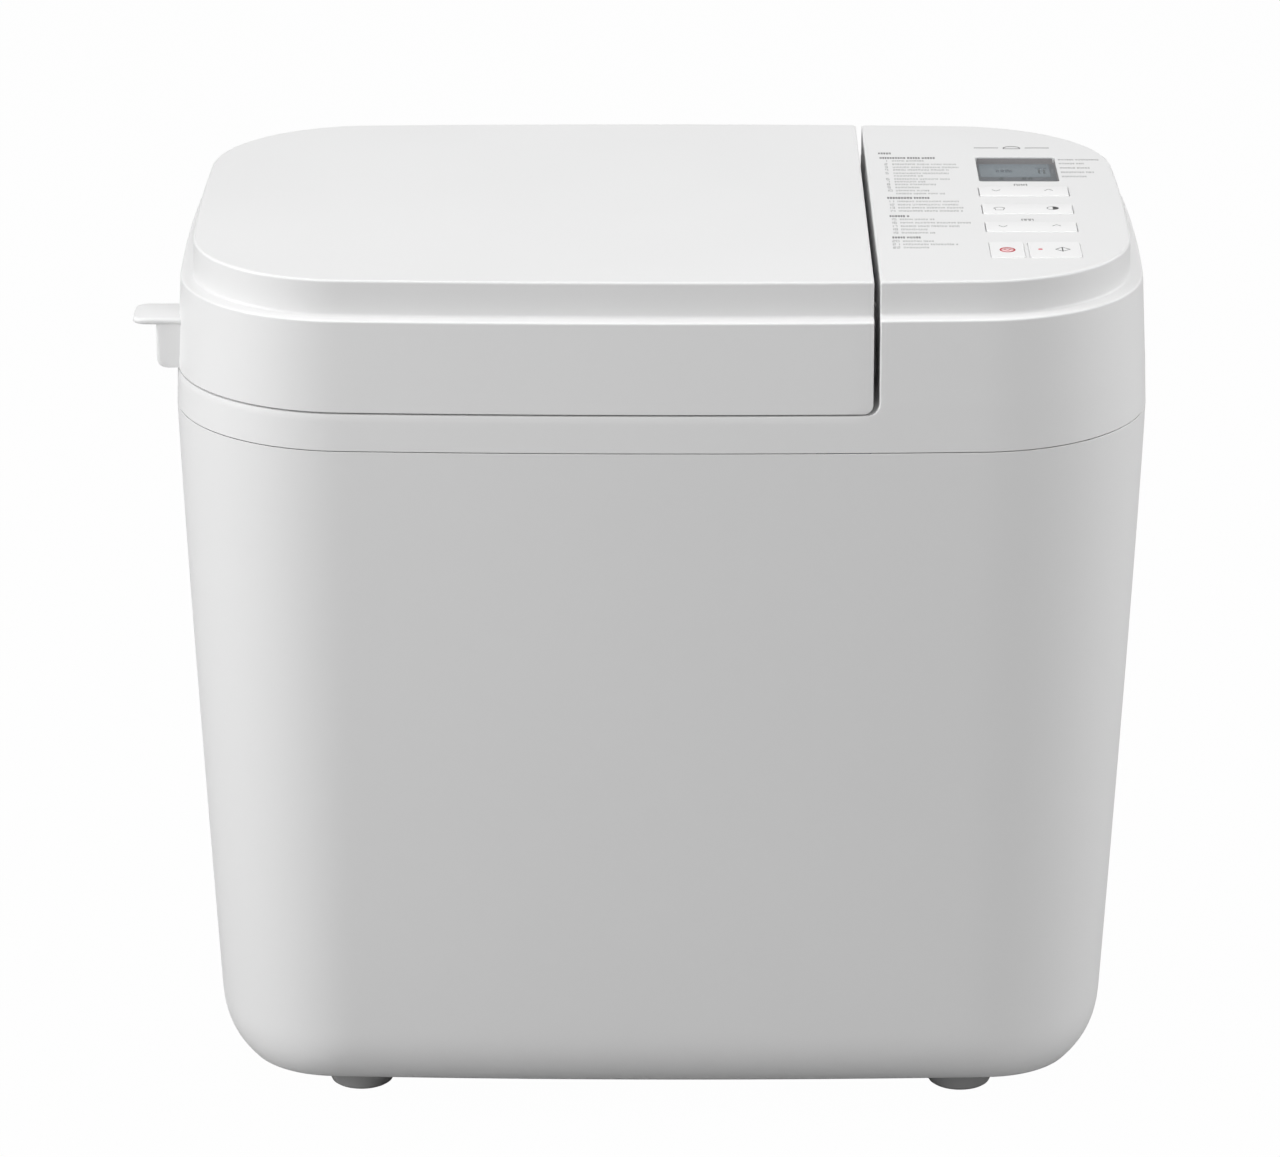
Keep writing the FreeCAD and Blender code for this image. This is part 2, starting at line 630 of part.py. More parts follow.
# ---- lid ------------------------------------------------------------------------------------
def make_lid_cover():
    block = softened(top_block(LEDGE_Z, HEIGHT, LID_SEAM_Z, 0), TOP_EDGE_R, HEIGHT)
    keep = box(-WIDTH, LID_X, -DEPTH, DEPTH, LID_SEAM_Z, HEIGHT + 10)
    low_edge = [e for e in keep.Edges
                if all(abs(v.X - LID_X) < 1e-6 and abs(v.Z - LID_SEAM_Z) < 1e-6 for v in e.Vertexes)]
    block = block.common(keep.makeFillet(LID_CORNER_R, low_edge))
    hollow = top_block(LEDGE_Z - WALL, TOP_UNDER_Z, LID_SEAM_Z - 1, WALL)
    hollow = hollow.common(box(-WIDTH, LID_X - WALL, -DEPTH, DEPTH, LID_SEAM_Z - 2, HEIGHT))
    cover = block.cut(hollow)
    lugs = []
    for y0, y1 in post_spans():
        for near, far in ((y0 - POST_CLEAR - LUG_THICKNESS, y0 - POST_CLEAR),
                          (y1 + POST_CLEAR, y1 + POST_CLEAR + LUG_THICKNESS)):
            lugs.append(box(HINGE_X - LUG_R, HINGE_X + LUG_R, near, far, HINGE_Z, TOP_UNDER_Z + 1))
            lugs.append(rod_y(LUG_R, HINGE_X, near, far, HINGE_Z))
    cover = joined([cover] + lugs)
    for y0, y1 in post_spans():
        cover = cover.cut(box(LID_X - WALL - 1, LID_X + 1, y0 - POST_CLEAR, y1 + POST_CLEAR,
                              LID_SEAM_Z - 1, TOP_UNDER_Z))
        reach = POST_CLEAR + LUG_THICKNESS + 1
        cover = cover.cut(rod_y(PIN_R, HINGE_X, y0 - reach, y1 + reach, HINGE_Z))
    return cover.cut(steam_opening(0))


def liner_half():
    return CHAMBER_HX - 4, CHAMBER_HY - 4


def make_lid_liner():
    z0 = LID_SEAM_Z + LINER_LIFT
    z1 = z0 + LINER_THICKNESS
    ceiling = HEIGHT - LINER_CEILING
    flange = slab(outline(RIM_INSET + WALL + 0.5), z0, z1)
    flange = flange.common(box(-WIDTH, LID_X - WALL - 0.5, -DEPTH, DEPTH, z0, z1))
    hx, hy = liner_half()
    raised = slab(rounded(CHAMBER_X, 0, hx, hy, CHAMBER_CORNER_R), z0, ceiling)
    hollow = slab(rounded(CHAMBER_X, 0, hx - LINER_THICKNESS, hy - LINER_THICKNESS,
                          CHAMBER_CORNER_R - LINER_THICKNESS), z0 - 1, ceiling - LINER_THICKNESS)
    liner = joined([flange, raised]).cut(hollow)
    for y0, y1 in post_spans():
        liner = liner.cut(box(HINGE_X - EYE_R - 1.5, LID_X, y0 - 1.5, y1 + 1.5, z0 - 1, z1 + 1))
    for x, y in lid_screw_places():
        liner = liner.cut(screw_hole(x, y, z0 - 1, z1 + 1))
    vents = [rod(LINER_VENT_R, CHAMBER_X + i * LINER_VENT_PITCH, hy - 14, ceiling - 3, ceiling + 1)
             for i in range(-3, 4)]
    for vent in vents:
        liner = liner.cut(vent)
    return liner


def lid_screw_places():
    return corners(CHAMBER_HX - 20, CHAMBER_HY + 16, CHAMBER_X)


def make_lid_bosses():
    """Moulded posts between the lid's top and the liner, which the lid screws go into."""
    z0 = LID_SEAM_Z + LINER_LIFT + LINER_THICKNESS
    bosses = []
    for x, y in lid_screw_places():
        boss = rod(LID_BOSS_R, x, y, z0, TOP_UNDER_Z + 1)
        bosses.append(boss.cut(screw_hole(x, y, z0 - 1, z0 + 12)))
    return bosses


def make_lid_gasket():
    z1 = LID_SEAM_Z + LINER_LIFT
    z0 = DECK_Z + GASKET_CLEAR
    hx = CHAMBER_HX + 2
    hy = CHAMBER_HY + 2
    outer = slab(rounded(CHAMBER_X, 0, hx + GASKET_WIDTH, hy + GASKET_WIDTH,
                         CHAMBER_CORNER_R + GASKET_WIDTH), z0, z1)
    return outer.cut(slab(rounded(CHAMBER_X, 0, hx, hy, CHAMBER_CORNER_R), z0 - 1, z1 + 1))


def make_lid_handle():
    y0 = -HALF_D + HANDLE_FRONT
    y1 = y0 + HANDLE_LENGTH
    z1 = LID_SEAM_Z + HANDLE_HEIGHT
    plate = box(-HALF_W - HANDLE_PLATE, -HALF_W + 12, y0, y1, LID_SEAM_Z, z1)
    low = [e for e in plate.Edges if all(abs(v.X + HALF_W + HANDLE_PLATE) < 1e-6 for v in e.Vertexes)
           and all(abs(v.Z - LID_SEAM_Z) < 1e-6 for v in e.Vertexes)]
    plate = plate.makeFillet(HANDLE_PLATE / 2, low)
    tab = box(-HALF_W - HANDLE_REACH, -HALF_W + 12, y0, y1, z1 - TAB_THICKNESS, z1)
    tip = [e for e in tab.Edges if all(abs(v.X + HALF_W + HANDLE_REACH) < 1e-6 for v in e.Vertexes)
           and abs(e.Vertexes[0].Y - e.Vertexes[-1].Y) > 1]
    tab = tab.makeFillet(HANDLE_EDGE_R, tip)
    handle = joined([plate, tab])
    return handle.cut(casing_block([LID_SEAM_Z - 1, LID_SEAM_Z, LEDGE_Z]))


def steam_opening(margin):
    """Block through the lid's rear wall for the steam grille."""
    half = STEAM_SLOTS * STEAM_SLOT_PITCH / 2 + margin
    z0 = (LID_SEAM_Z + LEDGE_Z) / 2 - STEAM_SLOT_HEIGHT / 2 - 1 - margin
    z1 = z0 + STEAM_SLOT_HEIGHT + 2 + 2 * margin
    return box(CHAMBER_X - half, CHAMBER_X + half, HALF_D - 20, HALF_D + 5, z0, z1)


def make_steam_grille():
    levels = [LID_SEAM_Z, LEDGE_Z]
    skin = casing_block(levels, 0.2).cut(casing_block(levels, WALL))
    body = skin.common(steam_opening(-PIN_CLEAR))
    behind = casing_block(levels, WALL).cut(casing_block(levels, WALL + STEAM_FLANGE))
    flange = behind.common(steam_opening(2))
    grille = joined([body, flange])
    z0 = (LID_SEAM_Z + LEDGE_Z - STEAM_SLOT_HEIGHT) / 2
    for i in range(STEAM_SLOTS):
        x = CHAMBER_X + (i - (STEAM_SLOTS - 1) / 2) * STEAM_SLOT_PITCH
        slot = box(x - STEAM_SLOT_WIDTH / 2, x + STEAM_SLOT_WIDTH / 2, HALF_D - 30, HALF_D + 5,
                   z0, z0 + STEAM_SLOT_HEIGHT)
        grille = grille.cut(slot)
    return grille


# ---- baking chamber -------------------------------------------------------------------------
def flange_screw_places():
    hx = CHAMBER_HX + CHAMBER_WALL + CHAMBER_FLANGE / 2
    hy = CHAMBER_HY + CHAMBER_WALL + CHAMBER_FLANGE / 2
    middles = [(CHAMBER_X - hx, 0), (CHAMBER_X + hx, 0)]
    return middles + [(CHAMBER_X + sx * hx * 0.5, sy * hy) for sx in (-1, 1) for sy in (-1, 1)]


def seat_screw_places():
    r = BASE_RING_R + SEAT_CLEAR + SEAT_WALL + SEAT_FLANGE / 2
    turns = [math.radians(45 + 90 * i) for i in range(4)]
    return [(CHAMBER_X + r * math.cos(t), r * math.sin(t)) for t in turns]


def make_baking_chamber():
    outer = rounded(CHAMBER_X, 0, CHAMBER_HX + CHAMBER_WALL, CHAMBER_HY + CHAMBER_WALL,
                    CHAMBER_CORNER_R + CHAMBER_WALL)
    inner = rounded(CHAMBER_X, 0, CHAMBER_HX, CHAMBER_HY, CHAMBER_CORNER_R)
    flange = rounded(CHAMBER_X, 0, CHAMBER_HX + CHAMBER_WALL + CHAMBER_FLANGE,
                     CHAMBER_HY + CHAMBER_WALL + CHAMBER_FLANGE, CHAMBER_CORNER_R + CHAMBER_FLANGE)
    shell = joined([slab(outer, CHAMBER_FLOOR_Z, DECK_UNDER_Z),
                    slab(flange, DECK_UNDER_Z - CHAMBER_WALL, DECK_UNDER_Z)])
    shell = shell.cut(slab(inner, CHAMBER_TOP_FLOOR, DECK_UNDER_Z + 1))
    shell = shell.cut(rod(drive_nose_r() + 0.2, CHAMBER_X, 0, CHAMBER_FLOOR_Z - 1, CHAMBER_TOP_FLOOR + 1))
    for y in mirrored_y(HEATER_LEADS):
        hole = rod_x(BUSHING_R + PIN_CLEAR, CHAMBER_X1 - 3, CHAMBER_X1 + 3, y, heater_z())
        shell = shell.cut(hole)
    shell = shell.cut(rod_x(SENSOR_R + PIN_CLEAR, CHAMBER_X1 - 3, CHAMBER_X1 + 3, 0, sensor_z()))
    for x, y in flange_screw_places():
        shell = shell.cut(screw_hole(x, y, DECK_UNDER_Z - 3, DECK_UNDER_Z + 1))
    for x, y in seat_screw_places():
        shell = shell.cut(screw_hole(x, y, CHAMBER_FLOOR_Z - 1, CHAMBER_TOP_FLOOR + 1))
    return shell


def heater_z():
    return CHAMBER_TOP_FLOOR + HEATER_Z


def sensor_z():
    return CHAMBER_TOP_FLOOR + SENSOR_UP


def make_heater():
    z = heater_z()
    hx = CHAMBER_HX - HEATER_IN_X
    hy = CHAMBER_HY - HEATER_IN_Y
    lead = CHAMBER_X1 + BUSHING_LENGTH + 3
    x = CHAMBER_X + hx - 6
    points = [V(lead, -HEATER_LEADS, z), V(x, -HEATER_LEADS, z), V(x, -hy, z),
              V(CHAMBER_X - hx, -hy, z), V(CHAMBER_X - hx, hy, z), V(x, hy, z),
              V(x, HEATER_LEADS, z), V(lead, HEATER_LEADS, z)]
    return swept(bent_path(points, HEATER_BEND_R), HEATER_R)


def make_heater_bushings():
    pieces = []
    for y in mirrored_y(HEATER_LEADS):
        x0 = CHAMBER_X1 - CHAMBER_WALL - 1.5
        body = rod_x(BUSHING_R, x0, x0 + BUSHING_LENGTH, y, heater_z())
        head = rod_x(BUSHING_R + 2, CHAMBER_X1, CHAMBER_X1 + 3, y, heater_z())
        bore = rod_x(HEATER_R + PIN_CLEAR, x0 - 1, x0 + BUSHING_LENGTH + 1, y, heater_z())
        pieces.append(body.fuse(head).cut(bore))
    return group(pieces)


def make_temperature_sensor():
    z = sensor_z()
    probe = rod_x(SENSOR_R, CHAMBER_X1 - 8, CHAMBER_X1 + 10, 0, z)
    collar = rod_x(SENSOR_R + 3, CHAMBER_X1, CHAMBER_X1 + 3, 0, z)
    return joined([probe, collar])


def make_pan_seat():
    inner = BASE_RING_R + SEAT_CLEAR
    outer = inner + SEAT_WALL
    seat = joined([tube(outer, inner, CHAMBER_X, 0, CHAMBER_TOP_FLOOR, CHAMBER_TOP_FLOOR + SEAT_HEIGHT),
                   tube(outer + SEAT_FLANGE, inner, CHAMBER_X, 0, CHAMBER_TOP_FLOOR,
                        CHAMBER_TOP_FLOOR + 1.5)])
    for x, y in seat_screw_places():
        seat = seat.cut(screw_hole(x, y, CHAMBER_FLOOR_Z, CHAMBER_TOP_FLOOR + 3))
    for y in mirrored_y(outer):
        seat = seat.cut(box(CHAMBER_X - 6, CHAMBER_X + 6, y - 5, y + 5, CHAMBER_TOP_FLOOR + 4,
                            CHAMBER_TOP_FLOOR + 11))
    return seat


def make_seat_clips():
    """Two leaf springs whose beads reach through the seat's windows to hold the pan's ring."""
    outer = BASE_RING_R + SEAT_CLEAR + SEAT_WALL
    clips = []
    for side in (-1, 1):
        near, far = sorted((side * (outer + 0.1), side * (outer + 0.9)))
        leaf = box(CHAMBER_X - 5, CHAMBER_X + 5, near, far, CHAMBER_TOP_FLOOR + 1.6,
                   CHAMBER_TOP_FLOOR + SEAT_HEIGHT)
        near, far = sorted((side * (outer - SEAT_WALL), side * (outer + 0.5)))
        bead = box(CHAMBER_X - 4, CHAMBER_X + 4, near, far, CHAMBER_TOP_FLOOR + 6,
                   CHAMBER_TOP_FLOOR + 9)
        clips.append(leaf.fuse(bead))
    return group(clips)


# ---- pan ------------------------------------------------------------------------------------
def pan_wire(half_x, half_y, z):
    return lifted(rounded(CHAMBER_X, 0, half_x, half_y, PAN_CORNER_R), z)


def make_bread_pan():
    low_x = PAN_HX - PAN_TAPER
    low_y = PAN_HY - PAN_TAPER
    outer = Part.makeLoft([pan_wire(low_x, low_y, PAN_UNDER_Z), pan_wire(PAN_HX, PAN_HY, PAN_RIM_Z)],
                          True, True)
    lip = slab(rounded(CHAMBER_X, 0, PAN_HX + PAN_LIP, PAN_HY + PAN_LIP, PAN_CORNER_R + PAN_LIP),
               PAN_RIM_Z - 1.5, PAN_RIM_Z)
    rise = PAN_TAPER / (PAN_RIM_Z - PAN_UNDER_Z)
    floor_in = PAN_WALL - rise * PAN_WALL
    over = PAN_WALL - rise
    inner = Part.makeLoft([pan_wire(low_x - floor_in, low_y - floor_in, PAN_FLOOR_Z),
                           pan_wire(PAN_HX - over, PAN_HY - over, PAN_RIM_Z + 1)], True, True)
    ears = []
    for side in (-1, 1):
        x0, x1 = sorted((CHAMBER_X + side * (PAN_HX - 2), CHAMBER_X + side * (PAN_HX + PAN_LIP)))
        ears.append(rod_x(EAR_R, x0, x1, 0, BAIL_Z))
    pan = joined([outer, lip] + ears).cut(inner)
    for side in (-1, 1):
        x0, x1 = sorted((CHAMBER_X + side * (PAN_HX - 6), CHAMBER_X + side * (PAN_HX + 6)))
        pan = pan.cut(rod_x(BAIL_PIN_R + SHAFT_CLEAR, x0, x1, 0, BAIL_Z))
    return pan.cut(rod(PAN_BUSH_R, CHAMBER_X, 0, PAN_UNDER_Z - 1, PAN_FLOOR_Z + 1))


def make_base_ring():
    z0 = CHAMBER_TOP_FLOOR + BASE_RING_GAP
    inner = BASE_RING_R - BASE_RING_WALL
    ring = tube(BASE_RING_R, inner, CHAMBER_X, 0, z0, PAN_UNDER_Z)
    for i in range(4):
        window = box(-7, 7, inner - 3, BASE_RING_R + 3, z0 + SEAT_HEIGHT, PAN_UNDER_Z - 3)
        window.rotate(V(0, 0, 0), V(0, 0, 1), 45 + 90 * i)
        window.translate(V(CHAMBER_X, 0, 0))
        ring = ring.cut(window)
    return ring


def make_pan_bush():
    z0 = PAN_COUPLING_Z + COUPLING_HUB + 1.0
    barrel = rod(PAN_BUSH_R, CHAMBER_X, 0, z0, PAN_FLOOR_Z + 1.5)
    collar = rod(PAN_BUSH_R + 4, CHAMBER_X, 0, z0, PAN_UNDER_Z)
    return joined([barrel, collar]).cut(
        rod(SHAFT_R + SHAFT_CLEAR, CHAMBER_X, 0, z0 - 1, PAN_FLOOR_Z + 3))


def seal_top_z():
    return PAN_FLOOR_Z + 1.5 + PAN_SEAL_THICKNESS


def make_pan_seal():
    return tube(PAN_BUSH_R - 1.5, SHAFT_R + 0.4, CHAMBER_X, 0, PAN_FLOOR_Z + 1.5, seal_top_z())


def make_pan_handle():
    """Wire bail, lying to the back of the pan, with its two ends turned in as pivot pins."""
    x0 = CHAMBER_X - BAIL_HX
    x1 = CHAMBER_X + BAIL_HX
    points = [V(x0, 0, BAIL_Z), V(x0, BAIL_ARM, BAIL_Z), V(x1, BAIL_ARM, BAIL_Z), V(x1, 0, BAIL_Z)]
    bail = swept(bent_path(points, BAIL_BEND_R), BAIL_R)
    inward = BAIL_R + BAIL_CLEAR + PAN_LIP - 0.5
    pieces = [bail]
    for x, side in ((x0, 1), (x1, -1)):
        pieces.append(Part.makeSphere(BAIL_R, V(x, 0, BAIL_Z)))
        start, end = sorted((x, x + side * (inward + 1.5)))
        pieces.append(rod_x(BAIL_PIN_R, start, end, 0, BAIL_Z))
    return joined(pieces)


# ---- blade and couplings --------------------------------------------------------------------
def d_shaft(radius, flat, z0, z1):
    """Shaft with one flat, seen from above a letter D."""
    bar = rod(radius, CHAMBER_X, 0, z0, z1)
    return bar.cut(box(CHAMBER_X + flat, CHAMBER_X + 2 * radius, -2 * radius, 2 * radius, z0, z1))


def make_pan_shaft():
    flat_z = seal_top_z() + 1
    low = rod(SHAFT_R, CHAMBER_X, 0, PAN_COUPLING_Z + 0.2, flat_z)
    return joined([low, d_shaft(SHAFT_R, SHAFT_FLAT, flat_z, PAN_FLOOR_Z + SHAFT_ABOVE_FLOOR)])


def prongs(first_angle, z0, z1):
    made = []
    for i in range(3):
        prong = box(COUPLING_PRONG_IN, COUPLING_R - 0.5, -COUPLING_PRONG_WIDTH / 2,
                    COUPLING_PRONG_WIDTH / 2, z0, z1)
        prong.rotate(V(0, 0, 0), V(0, 0, 1), first_angle + 120 * i)
        prong.translate(V(CHAMBER_X, 0, 0))
        made.append(prong)
    return made


def make_pan_coupling():
    hub = rod(COUPLING_R, CHAMBER_X, 0, PAN_COUPLING_Z, PAN_COUPLING_Z + COUPLING_HUB)
    low = COUPLING_FACE_Z + COUPLING_TIP_GAP
    coupling = joined([hub] + prongs(60, low, PAN_COUPLING_Z + 1))
    return coupling.cut(rod(SHAFT_R, CHAMBER_X, 0, PAN_COUPLING_Z + 0.2, PAN_COUPLING_Z + 9))


def make_drive_coupling():
    z0 = COUPLING_FACE_Z - COUPLING_HUB
    hub = rod(COUPLING_R, CHAMBER_X, 0, z0, COUPLING_FACE_Z)
    coupling = joined([hub] + prongs(0, COUPLING_FACE_Z - 1, COUPLING_FACE_Z + COUPLING_OVERLAP))
    return coupling.cut(rod(SHAFT_R, CHAMBER_X, 0, z0 - 1, COUPLING_FACE_Z - 0.4))


def make_kneading_blade():
    z0 = seal_top_z() + 1.0
    z1 = z0 + BLADE_HEIGHT
    reach = PAN_HY - PAN_TAPER - BLADE_TIP_CLEAR
    hub = Part.makeCone(BLADE_HUB_R, BLADE_HUB_R - 2.5, BLADE_HEIGHT * 0.8, V(CHAMBER_X, 0, z0))
    profile = [V(0, 0, 0), V(reach - 6, 0, 0), V(reach, 0, 8), V(reach - 3, 0, BLADE_HEIGHT * 0.62),
               V(reach - 14, 0, BLADE_HEIGHT), V(reach - 24, 0, BLADE_HEIGHT * 0.84),
               V(0, 0, BLADE_HEIGHT * 0.7)]
    wing = Part.Face(Part.makePolygon(profile + profile[:1])).extrude(V(0, BLADE_THICKNESS, 0))
    wing.translate(V(CHAMBER_X, -BLADE_THICKNESS / 2, z0))
    blade = joined([hub, wing])
    bore = d_shaft(SHAFT_R + BLADE_CLEAR, SHAFT_FLAT + BLADE_CLEAR, z0 - 1, shaft_top_z() + 0.6)
    return blade.cut(bore)


def shaft_top_z():
    return PAN_FLOOR_Z + SHAFT_ABOVE_FLOOR


# ---- drive ----------------------------------------------------------------------------------
def drive_nose_r():
    return SHAFT_R + SHAFT_CLEAR + BUSH_WALL + 2.0


def make_drive_housing():
    z0 = PULLEY_Z + PULLEY_WIDTH + 4
    top = CHAMBER_TOP_FLOOR + 0.8
    flange_z = CHASSIS_Z + CHASSIS_THICKNESS
    housing = joined([
        rod(HOUSING_BARREL_R, CHAMBER_X, 0, z0, CHAMBER_FLOOR_Z),
        rod(drive_nose_r(), CHAMBER_X, 0, CHAMBER_FLOOR_Z - 1, top),
        rod(HOUSING_FLANGE_R, CHAMBER_X, 0, flange_z, flange_z + HOUSING_FLANGE),
        rod(HOUSING_BARREL_R + 8, CHAMBER_X, 0, CHAMBER_FLOOR_Z - 3, CHAMBER_FLOOR_Z)])
    housing = housing.cut(rod(SHAFT_R + 1.5, CHAMBER_X, 0, z0 - 1, top + 1))
    bush_r = SHAFT_R + SHAFT_CLEAR + BUSH_WALL
    housing = housing.cut(rod(bush_r, CHAMBER_X, 0, top - BUSH_LENGTH, top + 1))
    housing = housing.cut(rod(bush_r, CHAMBER_X, 0, z0 - 1, z0 + BUSH_LENGTH))
    for x, y in housing_screw_places():
        housing = housing.cut(screw_hole(x, y, flange_z - 1, flange_z + 5))
    return housing


def housing_screw_places():
    return corners(HOUSING_SCREW_OUT, HOUSING_SCREW_OUT, CHAMBER_X)


def make_bush(z0):
    bush_r = SHAFT_R + SHAFT_CLEAR + BUSH_WALL
    return tube(bush_r, SHAFT_R + SHAFT_CLEAR, CHAMBER_X, 0, z0, z0 + BUSH_LENGTH)


def make_chassis_plate():
    z0 = CHASSIS_Z
    z1 = CHASSIS_Z + CHASSIS_THICKNESS
    inset = BODY_TAPER + CHASSIS_EDGE
    plate = slab(outline(inset), z0, z1)
    plate = plate.cut(rod(HOUSING_BARREL_R + 0.5, CHAMBER_X, 0, z0 - 1, z1 + 1))
    plate = plate.cut(rod(MOTOR_PULLEY_R + MOTOR_PULLEY_FLANGE + 2, MOTOR_X, 0, z0 - 1, z1 + 1))
    for x, y in chassis_post_places() + motor_screw_places() + housing_screw_places():
        plate = plate.cut(screw_hole(x, y, z0 - 1, z1 + 1))
    return plate


def motor_screw_places():
    side = MOTOR_R * 0.8
    return corners(side, side, MOTOR_X)


def make_motor_body():
    z0 = CHASSIS_Z + CHASSIS_THICKNESS
    z1 = z0 + MOTOR_HEIGHT
    flange = slab(rounded(MOTOR_X, 0, MOTOR_R, MOTOR_R, 10), z0, z0 + MOTOR_FLANGE)
    can = rod(MOTOR_R - 1, MOTOR_X, 0, z0, z1)
    nose = rod(MOTOR_NOSE_R, MOTOR_X, 0, z1 - 1, z1 + MOTOR_NOSE)
    motor = joined([flange, can, nose])
    motor = motor.cut(rod(MOTOR_R - 1 - MOTOR_WALL, MOTOR_X, 0, z0 + MOTOR_FLANGE, z1 - MOTOR_WALL))
    motor = motor.cut(rod(MOTOR_SHAFT_R + SHAFT_CLEAR, MOTOR_X, 0, z0 - 1, z1 + 4))
    for x, y in motor_screw_places():
        motor = motor.cut(screw_hole(x, y, z0 - 1, z0 + MOTOR_FLANGE + 1))
    return motor


def make_motor_shaft():
    return rod(MOTOR_SHAFT_R, MOTOR_X, 0, PULLEY_Z - 2, CHASSIS_Z + CHASSIS_THICKNESS + MOTOR_HEIGHT + 3)


def make_motor_pulley():
    z0 = PULLEY_Z - 1
    z1 = PULLEY_Z + PULLEY_WIDTH + 1
    flange_r = MOTOR_PULLEY_R + MOTOR_PULLEY_FLANGE
    pulley = joined([rod(MOTOR_PULLEY_R, MOTOR_X, 0, z0, z1), rod(flange_r, MOTOR_X, 0, z0, z0 + 1.5),
                     rod(flange_r, MOTOR_X, 0, z1 - 1.5, z1),
                     rod(MOTOR_PULLEY_R - 2, MOTOR_X, 0, z1 - 1, z1 + 6)])
    return pulley.cut(rod(MOTOR_SHAFT_R, MOTOR_X, 0, z0 - 1, z1 + 7))


def make_drive_pulley():
    z0 = PULLEY_Z
    z1 = PULLEY_Z + PULLEY_WIDTH
    middle = (z0 + z1) / 2
    pulley = rod(PULLEY_R, CHAMBER_X, 0, z0, z1)
    for low, high in ((z0 - 1, middle - PULLEY_WEB / 2), (middle + PULLEY_WEB / 2, z1 + 1)):
        pulley = pulley.cut(tube(PULLEY_R - PULLEY_RIM, PULLEY_HUB_R, CHAMBER_X, 0, low, high))
    for i in range(PULLEY_HOLES):
        angle = 2 * math.pi * i / PULLEY_HOLES
        r = (PULLEY_R - PULLEY_RIM + PULLEY_HUB_R) / 2
        hole = rod(PULLEY_HOLE_R, CHAMBER_X + r * math.cos(angle), r * math.sin(angle), z0, z1)
        pulley = pulley.cut(hole)
    return pulley.cut(rod(SHAFT_R, CHAMBER_X, 0, z0 - 1, z1 + 1))


def belt_wire(offset):
    """Loop round both pulleys: two straight runs tangent to two arcs."""
    big = PULLEY_R + offset
    small = MOTOR_PULLEY_R + offset
    lean = math.asin((big - small) / (MOTOR_X - CHAMBER_X))
    along = math.sin(lean)
    across = math.cos(lean)
    big_top = V(CHAMBER_X + big * along, big * across, 0)
    big_low = V(CHAMBER_X + big * along, -big * across, 0)
    small_top = V(MOTOR_X + small * along, small * across, 0)
    small_low = V(MOTOR_X + small * along, -small * across, 0)
    return Part.Wire([
        Part.Arc(big_top, V(CHAMBER_X - big, 0, 0), big_low).toShape(),
        Part.makeLine(big_low, small_low),
        Part.Arc(small_low, V(MOTOR_X + small, 0, 0), small_top).toShape(),
        Part.makeLine(small_top, big_top)])


def make_drive_belt():
    z0 = PULLEY_Z + (PULLEY_WIDTH - BELT_WIDTH) / 2
    z1 = z0 + BELT_WIDTH
    outer = slab(belt_wire(BELT_CLEAR + BELT_THICKNESS), z0, z1)
    return outer.cut(slab(belt_wire(BELT_CLEAR), z0 - 1, z1 + 1))


def make_drive_shaft():
    return rod(SHAFT_R, CHAMBER_X, 0, PULLEY_Z - 4, COUPLING_FACE_Z - 0.4)


def make_drive_clip():
    z0 = PULLEY_Z + PULLEY_WIDTH + 1
    ring = tube(SHAFT_R + 4, SHAFT_R, CHAMBER_X, 0, z0, z0 + CLIP_THICKNESS)
    return ring.cut(box(CHAMBER_X, CHAMBER_X + 20, -1.5, 1.5, PULLEY_Z, PULLEY_Z + 30))


# ---- electrics ------------------------------------------------------------------------------
def make_heat_shield():
    half = CHAMBER_HY - 6
    z0 = CHASSIS_Z + CHASSIS_THICKNESS
    sheet = box(SHIELD_X, SHIELD_X + SHIELD_THICKNESS, -half, half, z0, DECK_UNDER_Z - 14)
    foot = box(SHIELD_X, SHIELD_X + 12, -half, half, z0, z0 + SHIELD_THICKNESS)
    spacers = [rod_x(3, SHIELD_X, power_board_x(), y, z) for y, z in power_board_corners()]
    return joined([sheet, foot] + spacers)


def power_board_z():
    return DECK_UNDER_Z - 22 - POWER_BOARD_HEIGHT


def power_board_corners():
    half = POWER_BOARD_WIDTH / 2 - 6
    z0 = power_board_z()
    return [(y, z) for y in mirrored_y(half) for z in (z0 + 6, z0 + POWER_BOARD_HEIGHT - 6)]


def power_board_x():
    return SHIELD_X + SHIELD_THICKNESS + BOARD_STANDOFF


def make_power_board():
    x = power_board_x()
    z0 = power_board_z()
    return box(x, x + BOARD_THICKNESS, -POWER_BOARD_WIDTH / 2, POWER_BOARD_WIDTH / 2, z0,
               z0 + POWER_BOARD_HEIGHT)


def block_at(x, y, z, size):
    """Block standing out from the board at x, centred on y and z."""
    return box(x, x + size[0], y - size[1] / 2, y + size[1] / 2, z - size[2] / 2, z + size[2] / 2)


def make_transformer():
    x = power_board_x() + BOARD_THICKNESS
    z = power_board_z() + TRANSFORMER_UP
    core = block_at(x, TRANSFORMER_Y, z, TRANSFORMER_CORE)
    return joined([core, block_at(x + 3, TRANSFORMER_Y, z, TRANSFORMER_COIL)])


def make_relays():
    x = power_board_x() + BOARD_THICKNESS
    z = power_board_z() + RELAY_UP + RELAY[2] / 2
    return group([block_at(x, RELAY_Y + RELAY_PITCH * i, z, RELAY) for i in range(2)])


def make_capacitors():
    x = power_board_x() + BOARD_THICKNESS
    z = power_board_z() + CAPACITOR_UP
    return group([rod_x(CAPACITOR_R, x, x + CAPACITOR_LENGTH, CAPACITOR_Y + CAPACITOR_PITCH * i, z)
                  for i in range(3)])


def control_board_x():
    return HOUSING_X + (WINDOW[0] + WINDOW[1]) / 2


def make_control_board():
    x = control_board_x()
    half = CONTROL_BOARD_WIDTH / 2
    return box(x - half, x + half, -CONTROL_BOARD_LENGTH / 2, CONTROL_BOARD_LENGTH / 2,
               CONTROL_BOARD_Z, CONTROL_BOARD_Z + BOARD_THICKNESS)


